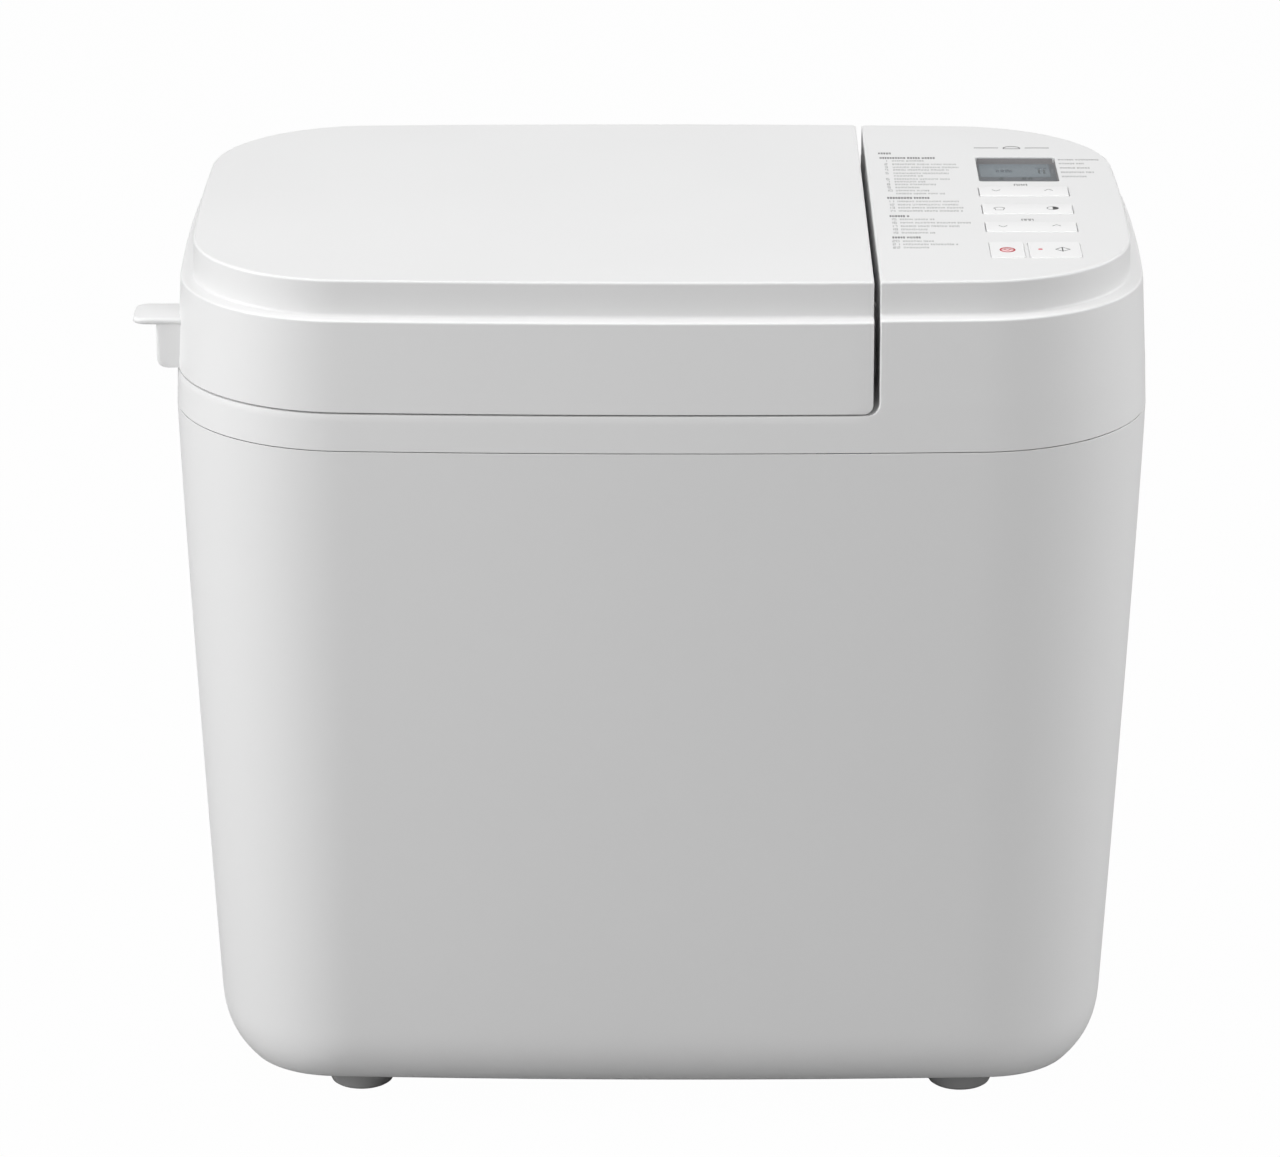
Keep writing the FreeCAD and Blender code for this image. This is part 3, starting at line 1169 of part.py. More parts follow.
def stem_places(name):
    if name in ROCKERS:
        x0, x1, y0, y1 = ROCKERS[name]
        middle = HOUSING_X + (x0 + x1) / 2
        return [(middle - ROCKER_STEM, (y0 + y1) / 2), (middle + ROCKER_STEM, (y0 + y1) / 2)]
    x0, x1, y0, y1 = KEYS[name]
    return [(HOUSING_X + (x0 + x1) / 2 + (START_STEM_SHIFT if name == "start_key" else 0), (y0 + y1) / 2)]


def all_stems():
    return [place for name in list(ROCKERS) + list(KEYS) for place in stem_places(name)]


def make_tact_switches():
    z0 = CONTROL_BOARD_Z + BOARD_THICKNESS
    made = []
    for x, y in all_stems():
        half = SWITCH_BODY / 2
        body = box(x - half, x + half, y - half, y + half, z0, z0 + SWITCH_BODY_HEIGHT)
        made.append(body.fuse(rod(SWITCH_PLUNGER_R, x, y, z0 + 1, SWITCH_TOP_Z)))
    return group(made)


def make_key_carrier():
    z0 = HEIGHT - CARRIER_DROP
    z1 = KEY_CARRIER_TOP
    places = carrier_screw_places()
    x0 = min(x for x, y in places) - 6
    x1 = max(x for x, y in places) + 6
    y0 = min(y0 for _, _, y0, _ in KEYS.values()) - 4
    y1 = WINDOW[2] - 0.6
    plate = box(x0, x1, y0, y1 + 4, z0, z1)
    plate = plate.cut(box(HOUSING_X + WINDOW[0] - 2, HOUSING_X + WINDOW[1] + 2, WINDOW[2] - 3,
                          y1 + 6, z0 - 1, z1 + 1))
    ridges = []
    for rx0, rx1, ry0, ry1 in ROCKERS.values():
        x = HOUSING_X + (rx0 + rx1) / 2
        ridges.append(box(x - PIVOT_R / 2, x + PIVOT_R / 2, ry0 + 2, ry1 - 2, z1 - 0.5, PIVOT_Z))
        ridges.append(rod_y(PIVOT_R - PIVOT_CLEAR, x, ry0 + 2, ry1 - 2, PIVOT_Z))
    plate = joined([plate] + ridges).common(slab(outline(STEP_INSET + WALL + 1), z0, HEIGHT))
    for x, y in all_stems():
        plate = plate.cut(rod(KEY_STEM_R + 0.9, x, y, z0 - 1, z1 + 1))
    plate = plate.cut(rod(LAMP_R + LAMP_CLEAR, lamp_x(), lamp_y(), z0 - 1, z1 + 1))
    for x, y in places:
        plate = plate.cut(screw_hole(x, y, z0 - 1, z1 + 1))
    return plate


def lamp_x():
    return HOUSING_X + KEYS["start_key"][0] + LAMP_IN


def lamp_y():
    return (KEYS["start_key"][2] + KEYS["start_key"][3]) / 2


def make_start_lamp():
    z0 = CONTROL_BOARD_Z + BOARD_THICKNESS
    stem = rod(LAMP_R, lamp_x(), lamp_y(), z0, HEIGHT - 0.4)
    return joined([stem, rod(LAMP_R + 1, lamp_x(), lamp_y(), z0, z0 + 4)])


def key_cap(span, flat_under_z):
    x0, x1, y0, y1 = span
    cap = panel_cut(x0, x1, y0, y1, 0.0, flat_under_z, KEY_TOP_Z)
    top = [e for e in cap.Edges if all(abs(v.Z - KEY_TOP_Z) < 1e-6 for v in e.Vertexes)]
    cap = cap.makeFillet(0.3, top)
    flange = panel_cut(x0, x1, y0, y1, KEY_FLANGE, flat_under_z, KEY_FLANGE_Z)
    return joined([cap, flange])


def make_key(name):
    span = ROCKERS[name] if name in ROCKERS else KEYS[name]
    rocker_travel = ROCKER_STEM * math.sin(math.radians(ROCKER_TILT)) + KEY_STEM_R * 0.05
    stem_end = SWITCH_TOP_Z + STEM_CLEAR + (rocker_travel if name in ROCKERS else KEY_TRAVEL)
    stems = [rod(KEY_STEM_R, x, y, stem_end, KEY_UNDER_Z + 1) for x, y in stem_places(name)]
    key = joined([key_cap(span, KEY_UNDER_Z)] + stems)
    if name == "start_key":
        key = key.cut(rod(LAMP_R + LAMP_CLEAR, lamp_x(), lamp_y(), KEY_UNDER_Z - 1,
                          KEY_TOP_Z + 1))
    return key


def make_display_window():
    x0, x1, y0, y1 = WINDOW
    pane = panel_cut(x0, x1, y0, y1, KEY_CLEAR - 0.1, TOP_UNDER_Z, HEIGHT - 0.05)
    flange = panel_cut(x0, x1, y0, y1, 1.6, TOP_UNDER_Z - 1.2, TOP_UNDER_Z)
    return joined([pane, flange])


def make_display_module():
    x0, x1, y0, y1 = WINDOW
    z1 = TOP_UNDER_Z - 1.4
    z0 = CONTROL_BOARD_Z + BOARD_THICKNESS
    return box(HOUSING_X + x0 - 0.5, HOUSING_X + x1 + 0.5, y0, y1, z0, z1)


def gland_block(half, y0, y1):
    """Square bar along the gland's axis."""
    return box(GLAND_X - half, GLAND_X + half, y0, y1, GLAND_Z - half, GLAND_Z + half)


def make_cord_bushing():
    """Flanged grommet for the mains lead, with a square neck that can't turn in the rear wall."""
    outside_y = gland_wall_y() + gland_lean()
    inside_y = gland_wall_y() - WALL - gland_lean()
    front = inside_y - GLAND_FLANGE - GLAND_TAIL
    back = outside_y + GLAND_FLANGE + GLAND_TAIL / 2
    neck_half = GLAND_HALF - GLAND_FIT
    neck = gland_block(neck_half, inside_y - 1, outside_y + 1)
    barrel = rod_y(neck_half, GLAND_X, front, back, GLAND_Z)
    outside = rod_y(GLAND_FLANGE_R, GLAND_X, outside_y, outside_y + GLAND_FLANGE, GLAND_Z)
    inside = rod_y(GLAND_FLANGE_R, GLAND_X, inside_y - GLAND_FLANGE, inside_y, GLAND_Z)
    return joined([neck, barrel, outside, inside]).cut(
        rod_y(GLAND_BORE_R, GLAND_X, front - 1, back + 1, GLAND_Z))


def gland_lean():
    """Room that a flat flange needs beside the wall, which leans and bows away from it."""
    drop = side_inset(GLAND_Z - GLAND_FLANGE_R) - side_inset(GLAND_Z)
    bow = GLAND_X / FRONT_BOW_R * GLAND_FLANGE_R
    return math.hypot(drop, bow) + GLAND_FIT


def gland_wall_y():
    """Outer face of the rear wall at the gland."""
    bow = FRONT_BOW_R - math.sqrt(FRONT_BOW_R ** 2 - GLAND_X ** 2)
    return HALF_D - side_inset(GLAND_Z) - bow


# ---- fasteners ------------------------------------------------------------------------------
def make_screws():
    lip_top = FOOT_HEIGHT + BASE_THICKNESS + WALL
    chassis_top = CHASSIS_Z + CHASSIS_THICKNESS
    base = [screw(x, y, FOOT_HEIGHT, lip_top + 3, False) for x, y in base_screw_places()]
    plate = [screw(x, y, CHASSIS_Z - 10, chassis_top, True) for x, y in chassis_post_places()]
    motor = [screw(x, y, CHASSIS_Z - 3, chassis_top + MOTOR_FLANGE, True)
             for x, y in motor_screw_places()]
    hub = [screw(x, y, CHASSIS_Z - 3, chassis_top + HOUSING_FLANGE, True)
           for x, y in housing_screw_places()]
    seat = [screw(x, y, CHAMBER_FLOOR_Z - 3, CHAMBER_TOP_FLOOR + 1.5, True)
            for x, y in seat_screw_places()]
    flange = [screw(x, y, DECK_UNDER_Z - CHAMBER_WALL, DECK_Z - 0.8, False)
              for x, y in flange_screw_places()]
    panel = [screw(x, y, HEIGHT - CARRIER_DROP, TOP_UNDER_Z - 0.2, False)
             for x, y in carrier_screw_places()]
    liner = LID_SEAM_Z + LINER_LIFT
    lid = [screw(x, y, liner, liner + 10, False) for x, y in lid_screw_places()]
    nodes["base_screws"] = group(base)
    nodes["chassis_screws"] = group(plate + hub + motor)
    nodes["chamber_screws"] = group(seat + flange)
    nodes["panel_screws"] = group(panel)
    nodes["lid_screws"] = group(lid)


def make_hinge_pin(y):
    reach = POST_LENGTH / 2 + POST_CLEAR + LUG_THICKNESS
    return rod_y(PIN_R, HINGE_X, y - reach, y + reach, HINGE_Z)


# ---- all the pieces -------------------------------------------------------------------------
nodes["body_shell"] = make_body_shell()
nodes["top_frame"] = make_top_frame()
nodes["base_plate"] = make_base_plate()
for foot_name, foot_place in zip(("front_left", "rear_left", "front_right", "rear_right"), foot_places()):
    nodes["foot_" + foot_name] = make_foot(*foot_place)
nodes["chassis_plate"] = make_chassis_plate()
nodes["baking_chamber"] = make_baking_chamber()
nodes["heater_element"] = make_heater()
nodes["heater_bushings"] = make_heater_bushings()
nodes["temperature_sensor"] = make_temperature_sensor()
nodes["pan_seat"] = make_pan_seat()
nodes["seat_clips"] = make_seat_clips()
nodes["drive_housing"] = make_drive_housing()
nodes["drive_bushes"] = group([make_bush(CHAMBER_TOP_FLOOR + 0.8 - BUSH_LENGTH),
                               make_bush(PULLEY_Z + PULLEY_WIDTH + 4)])
nodes["motor_body"] = make_motor_body()
nodes["drive_belt"] = make_drive_belt()
nodes["heat_shield"] = make_heat_shield()
nodes["power_board"] = make_power_board()
nodes["transformer"] = make_transformer()
nodes["relays"] = make_relays()
nodes["capacitors"] = make_capacitors()
nodes["control_board"] = make_control_board()
nodes["tact_switches"] = make_tact_switches()
nodes["key_carrier"] = make_key_carrier()
nodes["start_lamp"] = make_start_lamp()
nodes["display_module"] = make_display_module()
nodes["display_window"] = make_display_window()
nodes["cord_bushing"] = make_cord_bushing()
make_screws()
nodes["lid_cover"] = joined([make_lid_cover()] + make_lid_bosses())
nodes["lid_liner"] = make_lid_liner()
nodes["lid_gasket"] = make_lid_gasket()
nodes["lid_handle"] = make_lid_handle()
nodes["steam_grille"] = make_steam_grille()
nodes["hinge_pins"] = group([make_hinge_pin(y) for y in mirrored_y(HINGE_Y)])
nodes["bread_pan"] = make_bread_pan()
nodes["pan_base_ring"] = make_base_ring()
nodes["pan_bush"] = make_pan_bush()
nodes["pan_seal"] = make_pan_seal()
nodes["pan_handle"] = make_pan_handle()
nodes["pan_shaft"] = make_pan_shaft()
nodes["pan_coupling"] = make_pan_coupling()
nodes["kneading_blade"] = make_kneading_blade()
nodes["drive_shaft"] = make_drive_shaft()
nodes["drive_pulley"] = make_drive_pulley()
nodes["drive_coupling"] = make_drive_coupling()
nodes["drive_clip"] = make_drive_clip()
nodes["motor_shaft"] = make_motor_shaft()
nodes["motor_pulley"] = make_motor_pulley()
for key_name in list(ROCKERS) + list(KEYS):
    nodes[key_name] = make_key(key_name)

os.makedirs("parts", exist_ok=True)
for name, shape in nodes.items():
    placed = shape.copy()
    placed.translate(ORIGIN_SHIFT)
    placed.exportStep("parts/" + name + ".step")
    print(f"{name:22s} solids {len(placed.Solids):2d} valid {placed.isValid()} "
          f"volume {placed.Volume / 1000:9.2f} cm3")
print(len(nodes), "nodes")
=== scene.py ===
import json
import math

import bmesh
import bpy
import numpy as np
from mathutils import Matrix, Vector, geometry

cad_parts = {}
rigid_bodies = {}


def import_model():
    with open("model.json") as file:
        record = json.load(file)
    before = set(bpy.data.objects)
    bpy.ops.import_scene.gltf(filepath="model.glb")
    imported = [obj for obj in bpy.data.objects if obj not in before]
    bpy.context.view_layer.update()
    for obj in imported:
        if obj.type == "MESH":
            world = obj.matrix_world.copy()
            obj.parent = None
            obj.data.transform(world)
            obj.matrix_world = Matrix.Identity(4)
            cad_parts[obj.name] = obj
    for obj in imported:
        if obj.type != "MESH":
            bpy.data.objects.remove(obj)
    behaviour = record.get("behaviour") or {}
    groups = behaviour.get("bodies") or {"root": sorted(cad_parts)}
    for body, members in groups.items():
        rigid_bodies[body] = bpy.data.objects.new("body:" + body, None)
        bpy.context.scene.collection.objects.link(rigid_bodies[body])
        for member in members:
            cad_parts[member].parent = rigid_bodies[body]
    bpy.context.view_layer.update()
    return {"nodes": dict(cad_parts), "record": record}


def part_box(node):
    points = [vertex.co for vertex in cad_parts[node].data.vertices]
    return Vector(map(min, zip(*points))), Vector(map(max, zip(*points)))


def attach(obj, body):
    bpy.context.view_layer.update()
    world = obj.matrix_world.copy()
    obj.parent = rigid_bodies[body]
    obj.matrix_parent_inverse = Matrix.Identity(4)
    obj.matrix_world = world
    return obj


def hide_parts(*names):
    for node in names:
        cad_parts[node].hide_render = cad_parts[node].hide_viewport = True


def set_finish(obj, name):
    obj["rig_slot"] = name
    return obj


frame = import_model()
MM = 0.001

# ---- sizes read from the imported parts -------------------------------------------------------
shell_low, shell_high = (np.array(corner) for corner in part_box("body_shell"))
lid_low, lid_high = (np.array(corner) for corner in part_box("lid_cover"))
chamber_low, chamber_high = (np.array(corner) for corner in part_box("baking_chamber"))
window_low, window_high = (np.array(corner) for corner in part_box("display_window"))

MIDDLE_X = (shell_low[0] + shell_high[0]) / 2
HALF_DEPTH = (shell_high[1] - shell_low[1]) / 2
HALF_WIDTH = shell_high[0] - MIDDLE_X
SHELL_BOTTOM = shell_low[2]
BAND_SEAM = shell_high[2]
LID_SEAM = lid_low[2]
TOP = lid_high[2]
LID_X = lid_high[0]

# ---- the casing's own sizes, in metres ------------------------------------------------------
CORNER_R = 72 * MM
FRONT_BOW_R = 3.0
SIDE_BOW_R = 1.5
SEAM_GAP = 0.22 * MM
LID_GAP = 0.75 * MM
SIDE_GAP = 2.4 * MM
WALL = 2.2 * MM
BODY_TAPER = 12 * MM
TAPER_POWER = 1.15
FOOT_TURN = 11 * MM
FOOT_TURN_HEIGHT = 28 * MM
FOOT_CORNER_R = 61 * MM
BODY_LIP = 3.2 * MM
DECK_OPENING_IN = 12 * MM
DECK_OPENING_R = 29 * MM
HOLE_DEPTH = 2.4 * MM
HOLE_EDGE_R = 0.25 * MM
BAND_INSET = 0.6 * MM
RIM_INSET = 2.5 * MM
STEP_INSET = 8.0 * MM
LEDGE_DROP = 15.0 * MM
HOUSING_LEDGE_RISE = 0.7 * MM
RIM_R = 0.9 * MM
LEDGE_FILLET_R = 1.2 * MM
TOP_EDGE_R = 1.1 * MM
SPLIT_EDGE_R = 0.7 * MM
RECESS_R = 5.0 * MM
LID_CORNER_R = 3.5 * MM
SEAM_EDGE_R = 0.2 * MM
DECK_EDGE_R = 0.7 * MM
HOUSING_X = LID_X + SIDE_GAP
DECK = LID_SEAM - LID_GAP
SUPPORT = 0.3 * MM
CORNER_STEPS = 28
BOW_STEPS = 14


# ---- meshes from arrays ---------------------------------------------------------------------
def mesh_piece(name, verts, faces, body, smooth=35.0):
    """A new mesh object from vertices and faces; doubles are merged and edges sharper than
    smooth degrees stay hard."""
    mesh = bpy.data.meshes.new(name)
    mesh.from_pydata(np.asarray(verts).tolist(), [], faces)
    work = bmesh.new()
    work.from_mesh(mesh)
    bmesh.ops.remove_doubles(work, verts=work.verts, dist=1e-6)
    bmesh.ops.recalc_face_normals(work, faces=work.faces)
    work.to_mesh(mesh)
    work.free()
    mesh.polygons.foreach_set("use_smooth", np.ones(len(mesh.polygons), dtype=bool))
    mesh.set_sharp_from_angle(angle=math.radians(smooth))
    piece = bpy.data.objects.new(name, mesh)
    bpy.context.scene.collection.objects.link(piece)
    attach(piece, body)
    return piece


def grid_faces(rows, columns, closed, start=0):
    """Quads between neighbouring rows of a grid whose columns may close on themselves."""
    row = np.arange(rows - 1)[:, None] * columns
    column = np.arange(columns if closed else columns - 1)[None, :]
    following = (column + 1) % columns
    quads = np.stack([row + column, row + following, row + columns + following,
                      row + columns + column], axis=-1)
    return (quads.reshape(-1, 4) + start).tolist()


def within(points, loop):
    """True for the points inside a loop: a line drawn sideways from the point crosses the loop
    an odd number of times."""
    first = np.asarray(loop)[:, None, :]
    second = np.roll(first, -1, axis=0)
    x, y = points[None, :, 0], points[None, :, 1]
    spans = (first[..., 1] > y) != (second[..., 1] > y)
    rise = np.where(spans, second[..., 1] - first[..., 1], 1.0)
    meets = first[..., 0] + (second[..., 0] - first[..., 0]) * (y - first[..., 1]) / rise
    return np.sum(spans & (x < meets), axis=0) % 2 == 1


class Patchwork:
    """Collects grids and flat faces into one list of vertices and faces."""

    def __init__(self):
        """Starts with nothing collected."""
        self.verts = []
        self.faces = []

    def grid(self, rows, closed=True):
        """rows is an array of shape (levels, points, 3)."""
        rows = np.asarray(rows, dtype=float)
        start = len(self.verts)
        self.verts += rows.reshape(-1, 3).tolist()
        self.faces += grid_faces(rows.shape[0], rows.shape[1], closed, start)

    def flat(self, loops, z, border=0.0):
        """Level face inside the first loop and outside the others, cut into triangles. border is
        the width of a ring of quads along each loop, which keeps the shading of the rest level."""
        if border:
            inner = [shrunk(loop, border if i == 0 else -border) for i, loop in enumerate(loops)]
            for loop, ring in zip(loops, inner):
                self.grid([level_loop(loop, z), level_loop(ring, z)])
            loops = inner
        points = np.concatenate([np.asarray(loop) for loop in loops])
        edges = []
        for loop in loops:
            index = np.arange(len(loop))
            edges += (np.stack([index, (index + 1) % len(loop)], axis=1) + len(edges)).tolist()
        made = geometry.delaunay_2d_cdt(list(map(Vector, points.tolist())), edges, [], 1, 1e-8)
        flat = np.array(made[0])
        faces = np.array(made[2])
        centres = flat[faces].mean(axis=1)
        kept = within(centres, loops[0])
        for hole in loops[1:]:
            kept &= ~within(centres, hole)
        start = len(self.verts)
        self.verts += level_loop(flat, z).tolist()
        self.faces += (faces[kept] + start).tolist()

    def capped(self, rows):
        """A grid of level rows, closed with a flat face at its first and its last row."""
        self.grid(rows)
        self.flat([rows[0][:, :2]], rows[0][0, 2])
        self.flat([rows[-1][:, :2]], rows[-1][0, 2])

    def piece(self, name, body, smooth=35.0):
        """Everything collected, as one piece riding the named body."""
        return mesh_piece(name, self.verts, self.faces, body, smooth)


def thickened(piece, thickness):
    """Gives an open skin its wall, inwards."""
    wall = piece.modifiers.new("wall", "SOLIDIFY")
    wall.thickness = thickness
    wall.offset = -1.0
    wall.use_even_offset = False
    return piece


# ---- the casing's outline -------------------------------------------------------------------
def corner_place(radius):
    """Centre of the plan corner, tangent inside the side bow and the front bow: the point at
    distance bow minus corner radius from both bow centres."""
    side = np.array([HALF_WIDTH - SIDE_BOW_R, 0.0])
    front = np.array([0.0, HALF_DEPTH - FRONT_BOW_R])
    from_side = SIDE_BOW_R - radius
    from_front = FRONT_BOW_R - radius
    line = front - side
    span = np.linalg.norm(line)
    unit = line / span
    along = (from_side ** 2 - from_front ** 2 + span ** 2) / (2 * span)
    off = math.sqrt(from_side ** 2 - along ** 2)
    normal = np.array([-unit[1], unit[0]])
    options = [side + unit * along + normal * off, side + unit * along - normal * off]
    return max(options, key=lambda point: point.sum())


def front_depth(x, inset):
    """Distance of the front bow from the middle plane at x."""
    return (HALF_DEPTH - FRONT_BOW_R) + np.sqrt((FRONT_BOW_R - inset) ** 2 - np.square(x))


def half_path(x_end, inset, side, corner_r=CORNER_R):
    """The outline from the front at x_end, round the left (side -1) or right (side 1) end, to
    the back at x_end: bow, corner arc, side bow, corner arc, bow. Each is a circle's stretch
    moved in by inset."""
    centre = corner_place(corner_r)
    side_angle = math.atan2(centre[1], centre[0] - (HALF_WIDTH - SIDE_BOW_R))
    front_angle = math.atan2(centre[0], centre[1] - (HALF_DEPTH - FRONT_BOW_R))
    end = math.asin(side * x_end / (FRONT_BOW_R - inset))
    turn = np.linspace(end, front_angle, BOW_STEPS * 2)
    bow_x = (FRONT_BOW_R - inset) * np.sin(turn)
    bow_y = -(HALF_DEPTH - FRONT_BOW_R) - (FRONT_BOW_R - inset) * np.cos(turn)
    radius = corner_r - inset
    swing = np.linspace(math.pi / 2 - front_angle, side_angle, CORNER_STEPS)[1:]
    corner_x = centre[0] + radius * np.cos(swing)
    corner_y = -centre[1] - radius * np.sin(swing)
    rise = np.linspace(-side_angle, 0, BOW_STEPS)[1:]
    side_x = (HALF_WIDTH - SIDE_BOW_R) + (SIDE_BOW_R - inset) * np.cos(rise)
    side_y = (SIDE_BOW_R - inset) * np.sin(rise)
    x = np.concatenate([bow_x, corner_x, side_x])
    y = np.concatenate([bow_y, corner_y, side_y])
    x = np.concatenate([x, x[-2::-1]])
    y = np.concatenate([y, -y[-2::-1]])
    return np.stack([side * x, y], axis=1)


def split_ring(x_end, inset, side, edge_r, straight=10):
    """Closed ring: half_path, then a rounded corner of edge_r, the straight cut at x_end and
    the other rounded corner."""
    inner_x = x_end + side * edge_r
    path = half_path(inner_x, inset, side)
    depth = float(front_depth(inner_x, inset))
    swing = np.linspace(0, math.pi / 2, 6)[1:]
    round_x = inner_x - side * edge_r * np.sin(swing)
    round_y = depth - edge_r * (1 - np.cos(swing))
    back = np.stack([round_x, round_y], axis=1)
    line_y = np.linspace(depth - edge_r, -(depth - edge_r), straight)[1:-1]
    line = np.stack([np.full_like(line_y, x_end), line_y], axis=1)
    front = np.stack([round_x, -round_y], axis=1)[::-1]
    return np.concatenate([path, back, line, front])


def full_ring(x_join, inset, corner_r=CORNER_R):
    """Whole outline as the left half and the right half, joined at x_join."""
    left = half_path(x_join, inset, -1, corner_r)
    right = half_path(x_join, inset, 1, corner_r)
    return np.concatenate([left, right[::-1][1:-1]])


def level(ring, z):
    """A plan ring lifted to height z, in the object's frame."""
    ring = np.asarray(ring)
    return np.column_stack([ring[:, 0] + MIDDLE_X, ring[:, 1], np.full(len(ring), z)])


def body_inset(z):
    """Inset of the body's side: a gentle power curve down from the band, and a cubic turn-in
    over the last stretch above the feet."""
    turn_z = SHELL_BOTTOM + FOOT_TURN_HEIGHT
    share = (BAND_SEAM - z) / (BAND_SEAM - turn_z)
    inset = BODY_TAPER * np.power(share, TAPER_POWER)
    return inset + FOOT_TURN * np.clip((turn_z - z) / FOOT_TURN_HEIGHT, 0, 1) ** 3


def body_corner(z):
    """Radius of the body's plan corner: the casing's own down to the turn-in, then a squared ease
    to the foot's tighter one."""
    share = min(max((SHELL_BOTTOM + FOOT_TURN_HEIGHT - z) / FOOT_TURN_HEIGHT, 0), 1)
    return CORNER_R + (FOOT_CORNER_R - CORNER_R) * share ** 2


def rounded_corner(inset, z, radius, first, last, steps=5):
    """Profile points (inset, z) round an arc whose centre is given; angles in degrees from
    outwards, anticlockwise."""
    swing = np.radians(np.linspace(first, last, steps))
    return [(inset - radius * math.cos(a), z + radius * math.sin(a)) for a in swing]


def upper_profile(ledge_z, top_z):
    """Side wall, rounded rim, ledge, hollow fillet, step wall and rounded top edge, from the
    lid seam up, as (inset, z)."""
    foot = STEP_INSET - 0.15 * MM
    side = [(BAND_INSET + (RIM_INSET - BAND_INSET) * share, LID_SEAM + (ledge_z - RIM_R - LID_SEAM) * share)
            for share in (0.02, 0.2, 0.4, 0.6, 0.8, 0.99)]
    rim = rounded_corner(RIM_INSET + RIM_R, ledge_z - RIM_R, RIM_R, 0, 90, 7)
    swing = np.radians(np.linspace(0, 90, 7))
    hollow = [(foot - LEDGE_FILLET_R * (1 - math.sin(a)),
               ledge_z + 0.4 * MM + LEDGE_FILLET_R * (1 - math.cos(a))) for a in swing]
    edge = rounded_corner(STEP_INSET + TOP_EDGE_R, top_z - TOP_EDGE_R, TOP_EDGE_R, 0, 90, 7)
    after_rim = [(rim[-1][0] + SUPPORT, rim[-1][1]), (hollow[0][0] - SUPPORT, hollow[0][1] - 0.05 * MM)]
    wall = [(foot, hollow[-1][1] + SUPPORT), (STEP_INSET, edge[0][1] - SUPPORT)]
    return side + rim + after_rim + hollow + wall + edge


# ---- casing pieces --------------------------------------------------------------------------
def body_skin():
    """The tapering wall from the band seam down, its rounded bottom edge and a lip under it:
    the outline moved in by body_inset at each height."""
    quilt = Patchwork()
    rows = [level(full_ring(0, SEAM_EDGE_R), BAND_SEAM)]
    turn_z = SHELL_BOTTOM + FOOT_TURN_HEIGHT
    heights = np.concatenate([np.linspace(BAND_SEAM - SEAM_EDGE_R, turn_z, 22),
                              np.linspace(turn_z, SHELL_BOTTOM + 0.4 * MM, 22)[1:]])
    rows += [level(full_ring(0, float(body_inset(z)), body_corner(z)), z) for z in heights]
    bottom = float(body_inset(SHELL_BOTTOM))
    rows += [level(full_ring(0, bottom + more, FOOT_CORNER_R), SHELL_BOTTOM)
             for more in (0.5 * MM, BODY_LIP)]
    quilt.grid(rows)
    piece = thickened(quilt.piece("casing_wall", "root", 40), WALL)
    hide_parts("body_shell")
    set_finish(piece, "casing_white")
    return piece


def lid_skin():
    """The lid: the left part of the outline, cut straight at its right face, carried up the
    profile to a flat top."""
    quilt = Patchwork()
    profile = upper_profile(TOP - LEDGE_DROP, TOP)
    right = LID_X - MIDDLE_X
    rows = []
    corner_z = LID_SEAM + LID_CORNER_R
    heights = [LID_SEAM + LID_CORNER_R * (1 - math.cos(a)) for a in np.radians(np.linspace(0, 90, 8))]
    slope = (RIM_INSET - BAND_INSET) / (TOP - LEDGE_DROP - RIM_R - LID_SEAM)
    for z in heights:
        x_end = right - LID_CORNER_R + math.sqrt(max(LID_CORNER_R ** 2 - (corner_z - z) ** 2, 0))
        inset = BAND_INSET + slope * (z - LID_SEAM)
        if z == heights[0]:
            inset += SEAM_EDGE_R
        rows.append(level(split_ring(x_end, inset, -1, SPLIT_EDGE_R), z))
    for inset, z in profile:
        if z <= corner_z:
            continue
        pulled = max(inset - STEP_INSET, 0) if z > TOP - 2 * TOP_EDGE_R else 0
        rows.append(level(split_ring(right - pulled, inset, -1, SPLIT_EDGE_R), z))
    quilt.grid(rows)
    quilt.flat([rows[-1][:, :2]], rows[-1][0, 2], SUPPORT)
    piece = thickened(quilt.piece("lid_shell", "lid"), WALL)
    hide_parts("lid_cover")
    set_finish(piece, "lid_white")
    return piece


def round_rect(x0, x1, y0, y1, radius, steps=6):
    """Closed loop of a rectangle with round corners: a quarter circle of radius about each of the
    four inset corner centres, in turn."""
    start = np.radians(np.array([0, 90, 180, 270]))[:, None]
    swing = start + np.radians(np.linspace(0, 90, steps))[None, :]
    cx = np.array([x1 - radius, x0 + radius, x0 + radius, x1 - radius])[:, None]
    cy = np.array([y1 - radius, y1 - radius, y0 + radius, y0 + radius])[:, None]
    return np.stack([(cx + radius * np.cos(swing)).ravel(), (cy + radius * np.sin(swing)).ravel()], axis=1)


def panel_holes():
    """Sides of the window and key openings in the housing's top: wider than the keys by a slit,
    which is larger at the two ends a rocker swings."""
    loops = []
    for node, margin in PANEL_NODES.items():
        low, high = (np.array(corner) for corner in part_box(node))
        tall = min(margin, KEY_SLIT - KEY_FLANGE)
        loops.append((low[0] - margin, high[0] + margin, low[1] - tall, high[1] + tall))
    return loops


WINDOW_FLANGE = 1.6 * MM
KEY_FLANGE = 0.8 * MM
KEY_SLIT = 0.12 * MM
ROCKER_SLIT = 0.32 * MM
PANEL_NODES = {
    "display_window": -WINDOW_FLANGE,
    "rocker_menu": ROCKER_SLIT - KEY_FLANGE,
    "rocker_size": ROCKER_SLIT - KEY_FLANGE,
    "rocker_timer": ROCKER_SLIT - KEY_FLANGE,
    "stop_key": KEY_SLIT - KEY_FLANGE,
    "start_key": KEY_SLIT - KEY_FLANGE,
}
KEY_CORNER_R = 1.3 * MM
KEY_EDGE_R = 0.28 * MM
KEY_CROWN = 0.05 * MM
KEY_DEPTH = 2.6 * MM
INK = 0.04 * MM


